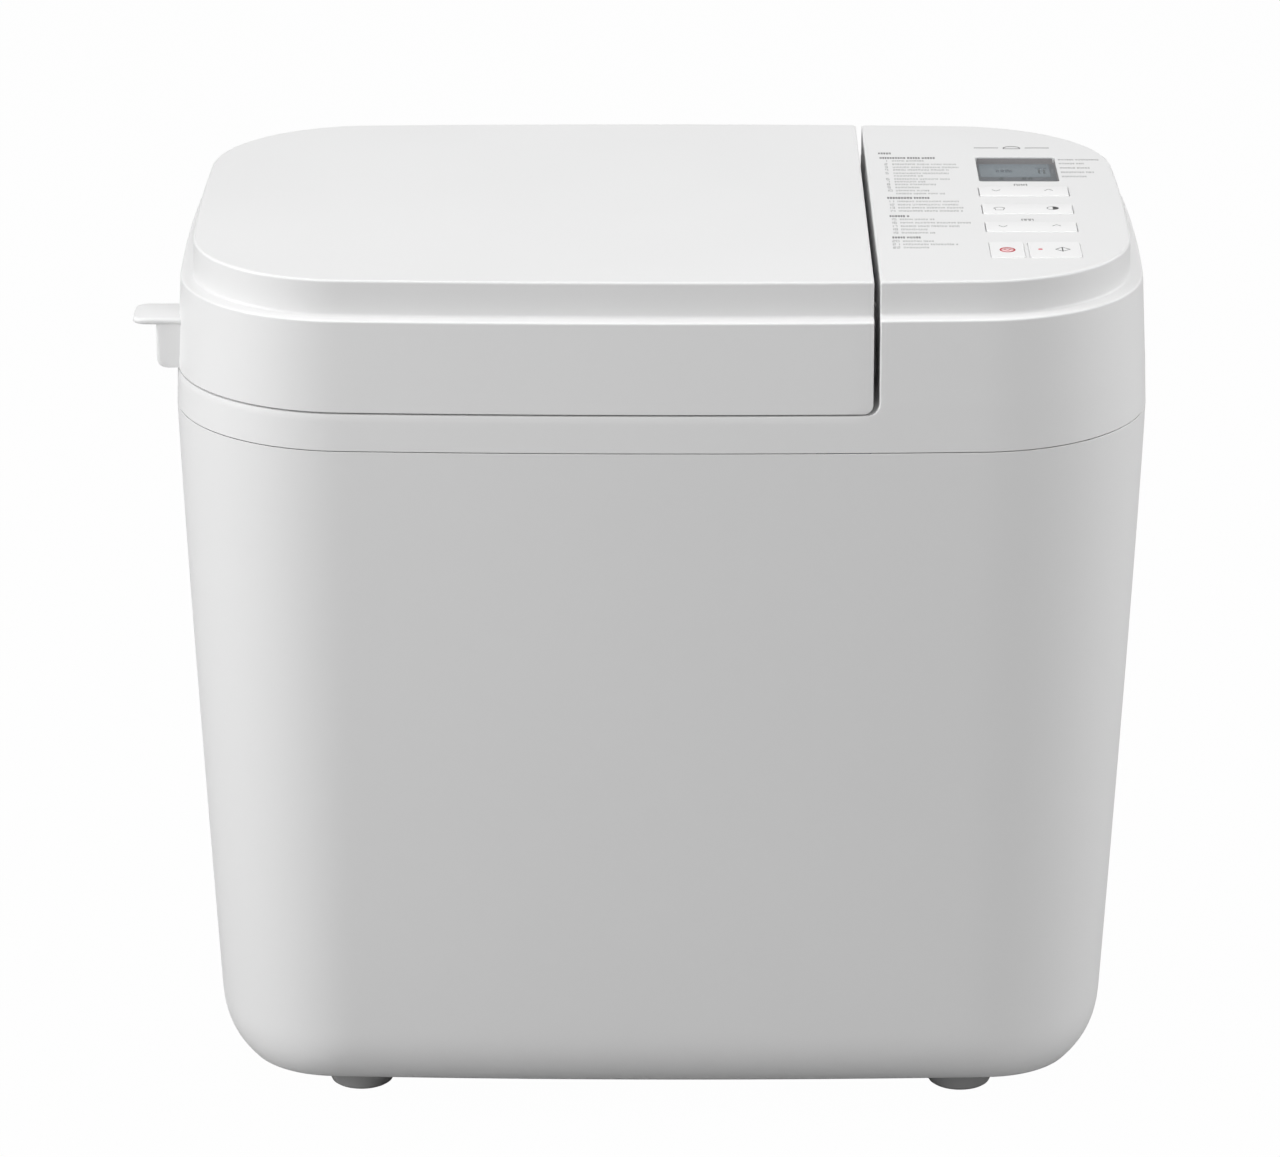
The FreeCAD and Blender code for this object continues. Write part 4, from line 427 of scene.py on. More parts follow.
def frame_skin():
    """Band, deck and control housing in one skin. The band is the whole outline; the housing
    is the right part of the outline, cut straight at its left face, with a hollow fillet down
    to the deck."""
    quilt = Patchwork()
    left_x = HOUSING_X - MIDDLE_X
    join = left_x - RECESS_R
    bottom = BAND_SEAM + SEAM_GAP
    slope = BAND_INSET / (LID_SEAM - BAND_SEAM)
    band_z = [bottom + SEAM_EDGE_R] + list(np.linspace(bottom + 2 * MM, DECK - SEAM_EDGE_R, 5))
    rows = [level(full_ring(join, SEAM_EDGE_R), bottom)]
    rows += [level(full_ring(join, slope * (z - BAND_SEAM)), z) for z in band_z]
    quilt.grid(rows)
    top_inset = slope * (band_z[-1] - BAND_SEAM)
    lip = [level(half_path(join, top_inset, -1), band_z[-1]),
           level(half_path(join, top_inset + SEAM_EDGE_R * 0.3, -1), DECK - SEAM_EDGE_R * 0.3),
           level(half_path(join, top_inset + SEAM_EDGE_R, -1), DECK)]
    quilt.grid(lip, closed=False)
    x0, y0 = chamber_low[:2] + DECK_OPENING_IN
    x1, y1 = chamber_high[:2] - DECK_OPENING_IN
    opening = round_rect(x0, x1, y0, y1, DECK_OPENING_R, 14)
    quilt.flat([lip[-1][:, :2], shrunk(opening, -DECK_EDGE_R)], DECK)
    turns = np.radians(np.linspace(0, 90, 5))
    rim = [level_loop(shrunk(opening, -DECK_EDGE_R * (1 - math.sin(a))),
                      DECK - DECK_EDGE_R * (1 - math.cos(a))) for a in turns]
    quilt.grid(rim + [level_loop(opening, DECK - HOLE_DEPTH)])
    profile = upper_profile(TOP - LEDGE_DROP + HOUSING_LEDGE_RISE, TOP)
    quilt.grid([level(half_path(join, slope * (z - BAND_SEAM), 1), z) for z in (band_z[-1], DECK)],
               closed=False)
    housing = []
    for turn in np.radians(np.linspace(0, 90, 9)):
        z = DECK + RECESS_R * (1 - math.cos(turn))
        x_cut = join + RECESS_R * math.sin(turn)
        inset = slope * (z - BAND_SEAM)
        housing.append(level(split_ring(x_cut, inset, 1, SPLIT_EDGE_R * math.sin(turn)), z))
    for inset, z in profile:
        if z <= DECK + RECESS_R:
            continue
        pulled = max(inset - STEP_INSET, 0) if z > TOP - 2 * TOP_EDGE_R else 0
        housing.append(level(split_ring(left_x + pulled, inset, 1, SPLIT_EDGE_R), z))
    quilt.grid(housing)
    holes = [round_rect(*spot, KEY_CORNER_R) for spot in panel_holes()]
    edge = HOLE_EDGE_R
    quilt.flat([housing[-1][:, :2]] + [shrunk(loop, -edge) for loop in holes], TOP, SUPPORT)
    for loop in holes:
        rings = [level_loop(shrunk(loop, -edge * (1 - math.sin(a))), TOP - edge * (1 - math.cos(a)))
                 for a in np.radians(np.linspace(0, 90, 4))]
        rings.append(level_loop(loop, TOP - HOLE_DEPTH))
        quilt.grid(rings)
    piece = thickened(quilt.piece("band_and_housing", "root"), WALL)
    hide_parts("top_frame")
    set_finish(piece, "casing_white")
    return piece


def shrunk(loop, amount):
    """A loop moved in by amount along its own normals: each point's normal stands across the
    line between its neighbours, on the side the loop's signed area gives."""
    loop = np.asarray(loop)
    following = np.roll(loop, -1, axis=0)
    along = following - np.roll(loop, 1, axis=0)
    along /= np.linalg.norm(along, axis=1)[:, None]
    turn = np.sign(np.sum(loop[:, 0] * following[:, 1] - loop[:, 1] * following[:, 0]))
    inward = np.stack([-along[:, 1], along[:, 0]], axis=1) * turn
    return loop + inward * amount


def level_loop(loop, z):
    """A plan loop set at height z: its points with z beside them."""
    loop = np.asarray(loop)
    return np.column_stack([loop, np.full(len(loop), z)])


def foot_skin(node):
    """A turned foot: its profile of radius and height, carried round its axis."""
    low, high = (np.array(corner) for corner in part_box(node))
    cx, cy = (low[:2] + high[:2]) / 2
    profile = [(0, 0.0), (9.5, 0.0), (10.0, 0.5), (11.3, 0.5), (12.0, 0.25), (12.7, 0.75), (13.2, 1.8),
               (14.0, 4.0), (15.0, 7.0), (16.2, 10.6), (16.5, 12.0)]
    swing = np.linspace(0, 2 * math.pi, 65)[:-1]
    rows = [np.column_stack([cx + r * MM * np.cos(swing), cy + r * MM * np.sin(swing),
                             np.full(64, z * MM)]) for r, z in profile]
    quilt = Patchwork()
    quilt.grid(rows)
    piece = quilt.piece("rubber_" + node, "root")
    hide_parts(node)
    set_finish(piece, "foot_rubber")
    return piece


def tab_skin():
    """The lid's side tab: a rounded plate under a thin finger ledge. Both are round-cornered
    plan loops stacked in height, the ledge with soft edges."""
    low, high = (np.array(corner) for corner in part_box("lid_handle"))
    inner = low[0] + 24 * MM
    ledge_low = high[2] - 2.6 * MM
    quilt = Patchwork()
    soft = 1.1 * MM
    rows = []
    for turn in np.radians(np.linspace(-90, 90, 11)):
        pull = soft * (1 - math.cos(turn))
        z = (ledge_low + high[2]) / 2 + (1.3 * MM) * math.sin(turn)
        loop = round_rect(low[0] + pull, inner, low[1] + pull, high[1] - pull, 4.5 * MM, 8)
        rows.append(level_loop(loop, z))
    quilt.capped(rows)
    plate_x = low[0] + 9.5 * MM
    rows = []
    for turn in np.radians(np.linspace(0, 90, 8)):
        pull = 3.2 * MM * (1 - math.sin(turn))
        z = low[2] + 0.4 * MM + 3.2 * MM * (1 - math.cos(turn))
        loop = round_rect(plate_x + pull, inner, low[1] + 0.6 * MM, high[1] - 0.6 * MM, 1.6 * MM, 8)
        rows.append(level_loop(loop, z))
    loop = round_rect(plate_x, inner, low[1] + 0.6 * MM, high[1] - 0.6 * MM, 1.6 * MM, 8)
    rows.append(level_loop(loop, ledge_low + 0.8 * MM))
    quilt.capped(rows)
    piece = quilt.piece("side_tab", "lid")
    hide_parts("lid_handle")
    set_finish(piece, "lid_white")
    return piece


def key_skin(node, body):
    """A key cap: a round-cornered loop with softened edges and a slightly crowned top, which lies
    just low enough for the printing on it to end at the key's full height."""
    low, high = (np.array(corner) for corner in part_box(node))
    x0, y0 = low[:2] + KEY_FLANGE
    x1, y1 = high[:2] - KEY_FLANGE
    crown = high[2] - INK * 0.8
    shoulder = crown - KEY_CROWN
    base = round_rect(x0, x1, y0, y1, KEY_CORNER_R - KEY_SLIT, 6)
    rows = [level_loop(base, TOP - KEY_DEPTH), level_loop(base, shoulder - KEY_EDGE_R)]
    for turn in np.radians(np.linspace(15, 90, 6)):
        rows.append(level_loop(shrunk(base, KEY_EDGE_R * (1 - math.cos(turn))),
                               shoulder - KEY_EDGE_R * (1 - math.sin(turn))))
    rows.append(level_loop(shrunk(base, KEY_EDGE_R + 0.5 * MM), crown))
    quilt = Patchwork()
    quilt.capped(rows)
    piece = quilt.piece(node + "_cap", body)
    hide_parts(node)
    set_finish(piece, "key_white")
    return piece


def tongue(x, z_axis, z_flat, radius, right, y0, y1):
    """Block with one round end: a circle about (x, z_axis) from the left side over the end and
    round to where it is right from the middle, closed by a flat at z_flat, carried along Y
    between softened ends."""
    swing = np.linspace(-math.acos(right / radius), math.pi, 21)
    turn = 1.0 if z_axis > z_flat else -1.0
    loop_x = np.concatenate([x + radius * np.cos(swing), [x - radius, x + right]])
    loop_z = np.concatenate([z_axis + turn * radius * np.sin(swing), [z_flat, z_flat]])
    soft = 0.5 * MM
    centre = np.array([x, (z_axis + z_flat) / 2])
    size = np.array([radius, abs(z_axis - z_flat) / 2 + radius])
    shrink = 1 - soft / size
    rows = []
    for share, y in ((0, y0), (1, y0 + soft), (1, y1 - soft), (0, y1)):
        scale = np.where(share, 1.0, shrink)
        rows.append(np.column_stack([centre[0] + (loop_x - centre[0]) * scale[0],
                                     np.full(len(loop_x), y),
                                     centre[1] + (loop_z - centre[1]) * scale[1]]))
    first, last = rows[0], rows[-1]
    caps = [np.repeat(end.mean(axis=0)[None, :], len(end), axis=0) for end in (first, last)]
    return [caps[0]] + rows + [caps[1]]


def block_mesh(low, high):
    """Closed box as plain faces, for cutting openings."""
    x, y, z = zip(low, high)
    verts = [(i, j, k) for i in x for j in y for k in z]
    faces = [(0, 1, 3, 2), (4, 6, 7, 5), (0, 4, 5, 1), (2, 3, 7, 6), (0, 2, 6, 4), (1, 5, 7, 3)]
    return verts, faces


def carve(piece, blocks):
    """Cuts closed blocks out of a piece and keeps the result as its mesh."""
    mesh = bpy.data.meshes.new("cutter")
    verts = []
    faces = []
    for low, high in blocks:
        more, around = block_mesh(low, high)
        faces += [tuple(i + len(verts) for i in face) for face in around]
        verts += more
    mesh.from_pydata(verts, [], faces)
    cutter = bpy.data.objects.new("cutter", mesh)
    bpy.context.scene.collection.objects.link(cutter)
    knife = piece.modifiers.new("knife", "BOOLEAN")
    knife.operation = "DIFFERENCE"
    knife.solver = "EXACT"
    knife.object = cutter
    bpy.context.view_layer.update()
    graph = bpy.context.evaluated_depsgraph_get()
    result = bpy.data.meshes.new_from_object(piece.evaluated_get(graph))
    piece.modifiers.clear()
    piece.data = result
    bpy.data.objects.remove(cutter)
    result.polygons.foreach_set("use_smooth", np.ones(len(result.polygons), dtype=bool))
    result.set_sharp_from_angle(angle=math.radians(35))
    return piece


# ---- hinge: posts on the deck, lugs under the lid -------------------------------------------
pins_low, pins_high = (np.array(corner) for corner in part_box("hinge_pins"))
HINGE_X = (pins_low[0] + pins_high[0]) / 2
HINGE_Z = (pins_low[2] + pins_high[2]) / 2
HINGE_Y = 80 * MM
EYE_R = 3.3 * MM
POST_RIGHT = 2.1 * MM
RIB_OUT = 6 * MM
RIB_DOWN = 17.2 * MM
RIB_R = 5.2 * MM
RIB_HALF = 2 * MM
LUG_R = 4 * MM
POST_HALF = 8 * MM
POST_CLEAR = 0.5 * MM
LUG = 3.6 * MM
LID_UNDER = TOP - 2.5 * MM
gland_low, gland_high = (np.array(corner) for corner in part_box("cord_bushing"))
grille_low, grille_high = (np.array(corner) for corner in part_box("steam_grille"))
GRILLE_FLANGE = 2.05 * MM
GLAND_HALF = 7 * MM


def hinge_posts():
    """The two posts that stand on the deck, each a tongue with its eye round the hinge axis and
    cut back on the right below it, and the rib that ties each post to the housing."""
    quilt = Patchwork()
    for middle in (-HINGE_Y, HINGE_Y):
        quilt.grid(tongue(HINGE_X, HINGE_Z, DECK - WALL, EYE_R, POST_RIGHT, middle - POST_HALF,
                          middle + POST_HALF))
        quilt.grid(tongue(HINGE_X + RIB_OUT, HINGE_Z - RIB_DOWN, DECK - WALL, RIB_R, RIB_R,
                          middle - RIB_HALF, middle + RIB_HALF))
    piece = quilt.piece("hinge_posts", "root")
    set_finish(piece, "casing_white")
    return piece


def lid_lugs():
    """Two lugs beside each post: tongues that hang from the lid's top round the hinge axis."""
    quilt = Patchwork()
    for side in (-1, 1):
        near = POST_HALF + POST_CLEAR
        for y0, y1 in ((-near - LUG, -near), (near, near + LUG)):
            quilt.grid(tongue(HINGE_X, HINGE_Z, LID_UNDER + 0.3 * MM, LUG_R, LUG_R,
                              side * HINGE_Y + y0, side * HINGE_Y + y1))
    piece = quilt.piece("lid_lugs", "lid")
    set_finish(piece, "lid_white")
    return piece


def open_lid_slots(piece):
    """Slots for the hinge posts in the lid's right wall, and the steam opening at the back."""
    reach = POST_HALF + POST_CLEAR
    blocks = [((LID_X - WALL - 1 * MM, side * HINGE_Y - reach, LID_SEAM - 1 * MM),
               (LID_X + 1 * MM, side * HINGE_Y + reach, LID_UNDER)) for side in (-1, 1)]
    low, high = grille_low + GRILLE_FLANGE, grille_high - GRILLE_FLANGE
    blocks.append(((low[0], grille_high[1] - 8 * MM, low[2]), (high[0], grille_high[1] + 4 * MM, high[2])))
    return carve(piece, blocks)


def open_gland(piece):
    """Square hole for the cord gland through the casing's rear wall."""
    centre = (gland_low + gland_high) / 2
    low, high = centre - GLAND_HALF, centre + GLAND_HALF
    return carve(piece, [((low[0], gland_low[1] - 5 * MM, low[2]),
                          (high[0], gland_high[1] + 5 * MM, high[2]))])


# ---- display --------------------------------------------------------------------------------
WELL_DEPTH = 3.15 * MM
LENS_DROP = 0.15 * MM
LENS = 0.5 * MM
WINDOW_X0, WINDOW_Y0 = window_low[:2] + WINDOW_FLANGE
WINDOW_X1, WINDOW_Y1 = window_high[:2] - WINDOW_FLANGE
WINDOW_R = 0.9 * MM


def display_well():
    """Dark wall round the display, from under the lens down to the screen."""
    loop = round_rect(WINDOW_X0, WINDOW_X1, WINDOW_Y0, WINDOW_Y1, WINDOW_R)
    inner = shrunk(loop, 0.12 * MM)
    quilt = Patchwork()
    quilt.grid([level_loop(inner, TOP - LENS_DROP - LENS), level_loop(inner, TOP - WELL_DEPTH)])
    quilt.grid([level_loop(inner, TOP - WELL_DEPTH), level_loop(shrunk(inner, 0.9 * MM), TOP - WELL_DEPTH)])
    piece = quilt.piece("display_well", "root")
    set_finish(piece, "component_black")
    return piece


def screen():
    """The screen: a dark frame, and the lit field as a slightly raised plate inside it."""
    quilt = Patchwork()
    z = TOP - WELL_DEPTH
    outer = round_rect(WINDOW_X0, WINDOW_X1, WINDOW_Y0, WINDOW_Y1, WINDOW_R)
    quilt.grid([level_loop(outer, z - 0.5 * MM), level_loop(outer, z + 0.02 * MM)])
    quilt.flat([outer], z + 0.02 * MM)
    quilt.flat([outer], z - 0.5 * MM)
    frame_piece = quilt.piece("screen_frame", "root")
    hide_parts("display_module")
    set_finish(frame_piece, "display_panel")
    field = Patchwork()
    loop = round_rect(WINDOW_X0 + 1.5 * MM, WINDOW_X1 - 2.4 * MM, WINDOW_Y0 + 17.4 * MM,
                      WINDOW_Y1 - 0.2 * MM, 0.3 * MM)
    field.grid([level_loop(loop, z), level_loop(loop, z + 0.10 * MM)])
    field.flat([loop], z + 0.10 * MM)
    field.flat([loop], z)
    field_piece = field.piece("screen_field", "root")
    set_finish(field_piece, "display_panel")
    return frame_piece, field_piece


def lens():
    """Clear pane set just under the panel's surface."""
    quilt = Patchwork()
    loop = shrunk(round_rect(WINDOW_X0, WINDOW_X1, WINDOW_Y0, WINDOW_Y1, WINDOW_R), 0.05 * MM)
    z = TOP - LENS_DROP
    quilt.grid([level_loop(loop, z - LENS), level_loop(loop, z - 0.1 * MM),
                level_loop(shrunk(loop, 0.1 * MM), z)])
    quilt.flat([shrunk(loop, 0.1 * MM)], z)
    quilt.flat([loop], z - LENS)
    piece = quilt.piece("display_lens", "root")
    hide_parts("display_window")
    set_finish(piece, "window_clear")
    return piece


# ---- printing -------------------------------------------------------------------------------
EVERY_WAY = np.linspace(0, 360, 33)[:-1]


class Print:
    """Thin raised printing: bars, strokes and filled shapes at one height, in millimetres from
    the casing's middle."""

    def __init__(self, height):
        """height is that of the ink's top, in metres."""
        self.quilt = Patchwork()
        self.height = height

    def place(self, points):
        """Points from millimetres about the casing's middle to the object's frame."""
        return np.asarray(points, dtype=float) * MM + np.array([MIDDLE_X, 0.0])

    def fill(self, loop):
        """A filled outline."""
        self.quilt.flat([self.place(loop)], self.height)

    def bar(self, x0, x1, y, tall):
        """A filled rectangle from x0 to x1, centred on y."""
        self.fill([(x0, y - tall / 2), (x1, y - tall / 2), (x1, y + tall / 2), (x0, y + tall / 2)])

    def stroke(self, points, width, closed=False):
        """Ribbon of one width along a line: each point moved half the width to either side of the
        line's own direction."""
        points = np.asarray(points, dtype=float)
        if closed:
            along = np.roll(points, -1, axis=0) - np.roll(points, 1, axis=0)
        else:
            along = np.gradient(points, axis=0)
        along /= np.linalg.norm(along, axis=1)[:, None]
        off = np.stack([-along[:, 1], along[:, 0]], axis=1) * width / 2
        rows = [self.place(points + off), self.place(points - off)]
        self.quilt.grid([level_loop(row, self.height) for row in rows], closed=closed)

    def piece(self, name, body, slot):
        """The printing as a piece of its own, its ink's thickness reaching down."""
        made = self.quilt.piece(name, body)
        up = made.data.polygons[0].normal.z
        if up < 0:
            made.data.flip_normals()
        thick = made.modifiers.new("ink", "SOLIDIFY")
        thick.thickness = INK
        thick.offset = -1.0
        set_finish(made, slot)
        return made


SEGMENTS = {"0": "abcdef", "1": "bc", "2": "abged", "3": "abgcd", "4": "fgbc", "5": "afgcd",
            "6": "afgedc", "7": "abc", "8": "abcdefg", "9": "abcdfg"}
SEGMENT_ENDS = {"a": ((0, 2), (1, 2)), "b": ((1, 2), (1, 1)), "c": ((1, 1), (1, 0)), "d": ((0, 0), (1, 0)),
                "e": ((0, 1), (0, 0)), "f": ((0, 2), (0, 1)), "g": ((0, 1), (1, 1))}


def print_number(paper, text, x, y, tall, width=0.28):
    """Plain figures made of straight strokes."""
    step = tall * 0.62
    for place, figure in enumerate(text):
        for segment in SEGMENTS[figure]:
            ends = np.array(SEGMENT_ENDS[segment], dtype=float)
            ends = ends * [tall * 0.40, tall / 2] + [x + place * step, y - tall / 2]
            paper.stroke(ends, width)


def print_line(paper, draw, x0, x1, y, tall, weight):
    """A line of greeked words: small upright bars and short cross bars of unequal size, with
    wider gaps between the words."""
    x = x0
    left = draw.integers(5, 11)
    while x < x1 - 0.4:
        wide = min(draw.uniform(0.62, 0.95), x1 - x)
        high = tall * draw.uniform(0.8, 1.0)
        paper.bar(x, x + weight, y, high)
        paper.bar(x + wide - weight, x + wide, y, high)
        paper.bar(x + weight, x + wide - weight, y + draw.choice([-0.38, 0.0, 0.38]) * high, weight)
        x += wide + 0.34
        left -= 1
        if left == 0:
            x += 0.55
            left = draw.integers(4, 11)


MENU_HEADS = [(90.9, 96.7, 70.8), (91.3, 114.6, 63.6), (92.3, 110.2, 2.6), (92.3, 100.9, -24.3),
              (92.3, 103.5, -55.1)]
MENU_LINES = [
    ("1", 109.8, 59.1), ("2", 122.7, 53.8), ("3", 123.7, 49.1), ("4", 120.0, 45.1), ("5", 120.0, 39.9),
    ("", 108.2, 35.9), ("6", 119.8, 31.1), ("7", 109.6, 27.1), ("8", 114.3, 22.9), ("9", 106.7, 18.3),
    ("10", 109.9, 13.6), ("", 116.9, 9.1), ("11", 121.5, -2.6), ("12", 121.6, -7.4), ("13", 122.8, -12.0),
    ("14", 122.7, -16.7), ("15", 110.6, -29.0), ("16", 124.7, -33.9), ("17", 120.1, -38.9),
    ("18", 106.8, -43.6), ("19", 109.8, -48.4), ("20", 108.9, -60.4), ("21", 118.1, -64.9),
    ("22", 106.9, -69.4)]
SIDE_LINES = [(183.0, 61.2), (176.4, 55.2), (178.8, 48.5), (180.1, 41.8), (176.0, 35.3)]
NUMBER_X = 92.2
TEXT_X = 96.3
SIDE_X = 165.9


def panel_print():
    """The programme list, the notes beside the display and the two small labels."""
    draw = np.random.default_rng(11)
    pale = Print(TOP + INK)
    for number, x1, y in MENU_LINES:
        print_number(pale, number, NUMBER_X + (0.9 if len(number) == 1 else 0), y, 2.5, 0.26)
        print_line(pale, draw, TEXT_X, x1, y, 2.3, 0.24)
    for x1, y in SIDE_LINES:
        print_line(pale, draw, SIDE_X, x1, y, 2.3, 0.27)
    bold = Print(TOP + INK)
    for x0, x1, y in MENU_HEADS:
        print_line(bold, draw, x0, x1, y, 2.9, 0.36)
    for x0, x1, y in ((145.0, 150.9, 22.4), (145.3, 150.3, -29.4)):
        for i in range(3):
            wide = (x1 - x0) / 3
            middle = x0 + wide * (i + 0.5)
            bold.stroke([(middle - 0.6, y - 1.3), (middle - 0.6, y + 1.3), (middle + 0.6, y + 1.3),
                         (middle + 0.6, y - 1.3)], 0.34)
            bold.bar(middle - 0.6, middle + 0.6, y, 0.3)
    rule = Print(TOP + INK)
    rule.stroke([(131.6, 79.7), (141.8, 79.7)], 0.8)
    rule.stroke([(153.0, 79.7), (163.2, 79.7)], 0.8)
    swing = np.radians(EVERY_WAY)
    loaf = np.stack([147.4 + 3.4 * np.cos(swing), 79.2 + 2.6 * np.sin(swing).clip(-0.35, 1)], axis=1)
    rule.stroke(loaf, 0.6, closed=True)
    return [pale.piece("programme_list", "root", "carrier_grey"),
            bold.piece("list_headings", "root", "carrier_grey"),
            rule.piece("loaf_mark", "root", "carrier_grey")]


def oval(x, y, wide, tall, swing=EVERY_WAY):
    """Points round an ellipse, or part of one, at angles in degrees."""
    turn = np.radians(swing)
    return np.stack([x + wide * np.cos(turn), y + tall * np.sin(turn)], axis=1)


def chevron(paper, x, y, up):
    """An arrowhead stroke that points up or down."""
    wide, tall = 1.7, 1.9
    tip = tall / 2 if up else -tall / 2
    half = wide / 2
    line = [(x - wide, y - tip), (x - half, y), (x, y + tip), (x + half, y), (x + wide, y - tip)]
    paper.stroke(line, 0.42)


def key_print():
    """Symbols on the keys; each rides with its own key."""
    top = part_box("rocker_menu")[1][2]
    made = []
    for name, y0, y1 in (("menu", 13.2, 14.0), ("timer", -39.7, -38.3)):
        paper = Print(top)
        chevron(paper, 137.4, y0, False)
        chevron(paper, 159.0, y1, True)
        made.append(paper.piece(name + "_chevrons", name + "_rocker", "carrier_grey"))
    paper = Print(top)
    loaf = np.array([(-1.7, -1.6), (1.7, -1.6), (1.7, 0.2), (2.2, 0.7), (2.1, 1.5), (1.2, 2.1), (0, 2.3),
                     (-1.2, 2.1), (-2.1, 1.5), (-2.2, 0.7), (-1.7, 0.2)])
    paper.stroke(loaf + [137.3, -14.3], 0.42, closed=True)
    paper.stroke(oval(159.0, -13.2, 2.3, 2.2), 0.36, closed=True)
    made.append(paper.piece("size_symbols", "size_rocker", "carrier_grey"))
    dark = Print(top)
    dark.fill(oval(159.0, -13.2, 2.2, 2.1, np.linspace(-90, 90, 17)))
    made.append(dark.piece("crust_shade", "size_rocker", "component_black"))
    red = Print(top)
    red.stroke(oval(137.3, -73.2, 2.8, 3.1), 0.75, closed=True)
    red.stroke([(135.9, -72.2), (136.6, -73.4), (137.3, -74.4), (138.0, -73.4), (138.7, -72.2)], 0.5)
    made.append(red.piece("stop_symbol", "stop_button", "lamp_red"))
    blush = Print(top - 0.01 * MM)
    blush.fill(oval(137.3, -73.2, 2.5, 2.8))
    made.append(blush.piece("stop_field", "stop_button", "lamp_red"))
    lamp = Print(top)
    lamp.fill(oval(150.4, -72.3, 0.95, 0.95))
    made.append(lamp.piece("start_lamp_dot", "start_button", "lamp_red"))
    go = Print(top)
    go.stroke([(156.4, -72.4), (157.8, -71.0), (159.2, -69.6), (160.7, -71.0), (162.2, -72.4),
               (160.7, -73.8), (159.2, -75.2), (157.8, -73.8)], 0.42, closed=True)
    go.stroke([(159.2, -69.4), (159.2, -75.4)], 0.45)
    made.append(go.piece("start_symbol", "start_button", "component_black"))
    return made


def screen_print():
    """The dark segments and the faint figures on the screen."""
    z = TOP - WELL_DEPTH + 0.16 * MM
    dark = Print(z)
    for x in (141.3, 150.7, 153.3):
        dark.fill([(x - 0.9, 41.9), (x + 0.9, 41.9), (x + 0.55, 44.9), (x - 0.55, 44.9)])
    for x in (157.6, 159.6):
        dark.bar(x - 0.35, x + 0.35, 53.6, 6.0)
    faint = Print(z)
    for x in (140.2, 142.2, 144.2, 145.8):
        faint.bar(x - 0.7, x + 0.7, 54.4, 3.4)
    faint.bar(156.4, 160.6, 58.9, 1.2)
    return (dark.piece("screen_marks", "root", "component_black"),
            faint.piece("screen_figures", "root", "display_panel"))


open_gland(body_skin())
open_lid_slots(lid_skin())
frame_skin()
hinge_posts()
lid_lugs()
for foot_node in sorted(node for node in frame["nodes"] if node.startswith("foot_")):
    foot_skin(foot_node)
tab_skin()
KEY_BODIES = {"rocker_menu": "menu_rocker", "rocker_size": "size_rocker", "rocker_timer": "timer_rocker",
              "stop_key": "stop_button", "start_key": "start_button"}
for key_node, key_body in KEY_BODIES.items():
    key_skin(key_node, key_body)
display_well()
screen()
lens()
panel_print()
key_print()
screen_print()


# ---- stage ----------------------------------------------------------------------------------
LIGHTS = {
    "overhead": ((0.0, 0.12, 2.3), (0, 0.1, 0.3), (2.4, 1.0), 28.5),
    "left_side": ((-2.2, -0.6, 1.25), (0, 0, 0.2), (1.0, 1.6), 36.5),
    "right_rear": ((2.2, 0.9, 1.1), (0, 0, 0.2), (1.0, 1.6), 16.0),
    "right_side": ((2.2, -0.5, 1.1), (0, 0, 0.2), (1.0, 1.6), 21.5),
    "front_left": ((-1.5, -2.4, 1.3), (0, 0, 0.2), (1.2, 1.2), 8.8),
    "rear_fill": ((0.5, 2.4, 1.5), (0, 0, 0.2), (2.4, 1.2), 2.6),
    "front_high": ((0.0, -1.3, 1.3), (0, 0, 0.2), (1.4, 0.8), 2.9),
    "front": ((0.3, -2.6, 2.0), (0, 0, 0.2), (1.6, 1.0), 8.4),
    "left_corner": ((-1.9, -1.6, 0.9), (0, 0, 0.2), (0.8, 1.6), 7.4),
}


def area_light(name, place, target, size, power):
    """A rectangular lamp at place, facing target; size in metres, power in watts."""
    data = bpy.data.lights.new(name, "AREA")
    data.shape = "RECTANGLE"
    data.size, data.size_y = size
    data.energy = power
    lamp = bpy.data.objects.new(name, data)
    lamp.location = place
    lamp.rotation_euler = (Vector(target) - Vector(place)).to_track_quat("-Z", "Y").to_euler()
    bpy.context.scene.collection.objects.link(lamp)


def make_world():
    """White backdrop to the eye, no light of its own."""
    world = bpy.data.worlds.new("studio")
    world.use_nodes = True
    nodes, links = world.node_tree.nodes, world.node_tree.links
    nodes.clear()
    path = nodes.new("ShaderNodeLightPath")
    seen = nodes.new("ShaderNodeBackground")
    seen.inputs["Strength"].default_value = 1.0
    glow = nodes.new("ShaderNodeBackground")
    glow.inputs["Strength"].default_value = WORLD_GLOW
    mix = nodes.new("ShaderNodeMixShader")
    out = nodes.new("ShaderNodeOutputWorld")
    links.new(path.outputs["Is Camera Ray"], mix.inputs["Fac"])
    links.new(glow.outputs[0], mix.inputs[1])
    links.new(seen.outputs[0], mix.inputs[2])
    links.new(mix.outputs[0], out.inputs["Surface"])
    bpy.context.scene.world = world


WORLD_GLOW = 0.02
FLOOR_LIFT = 0.985


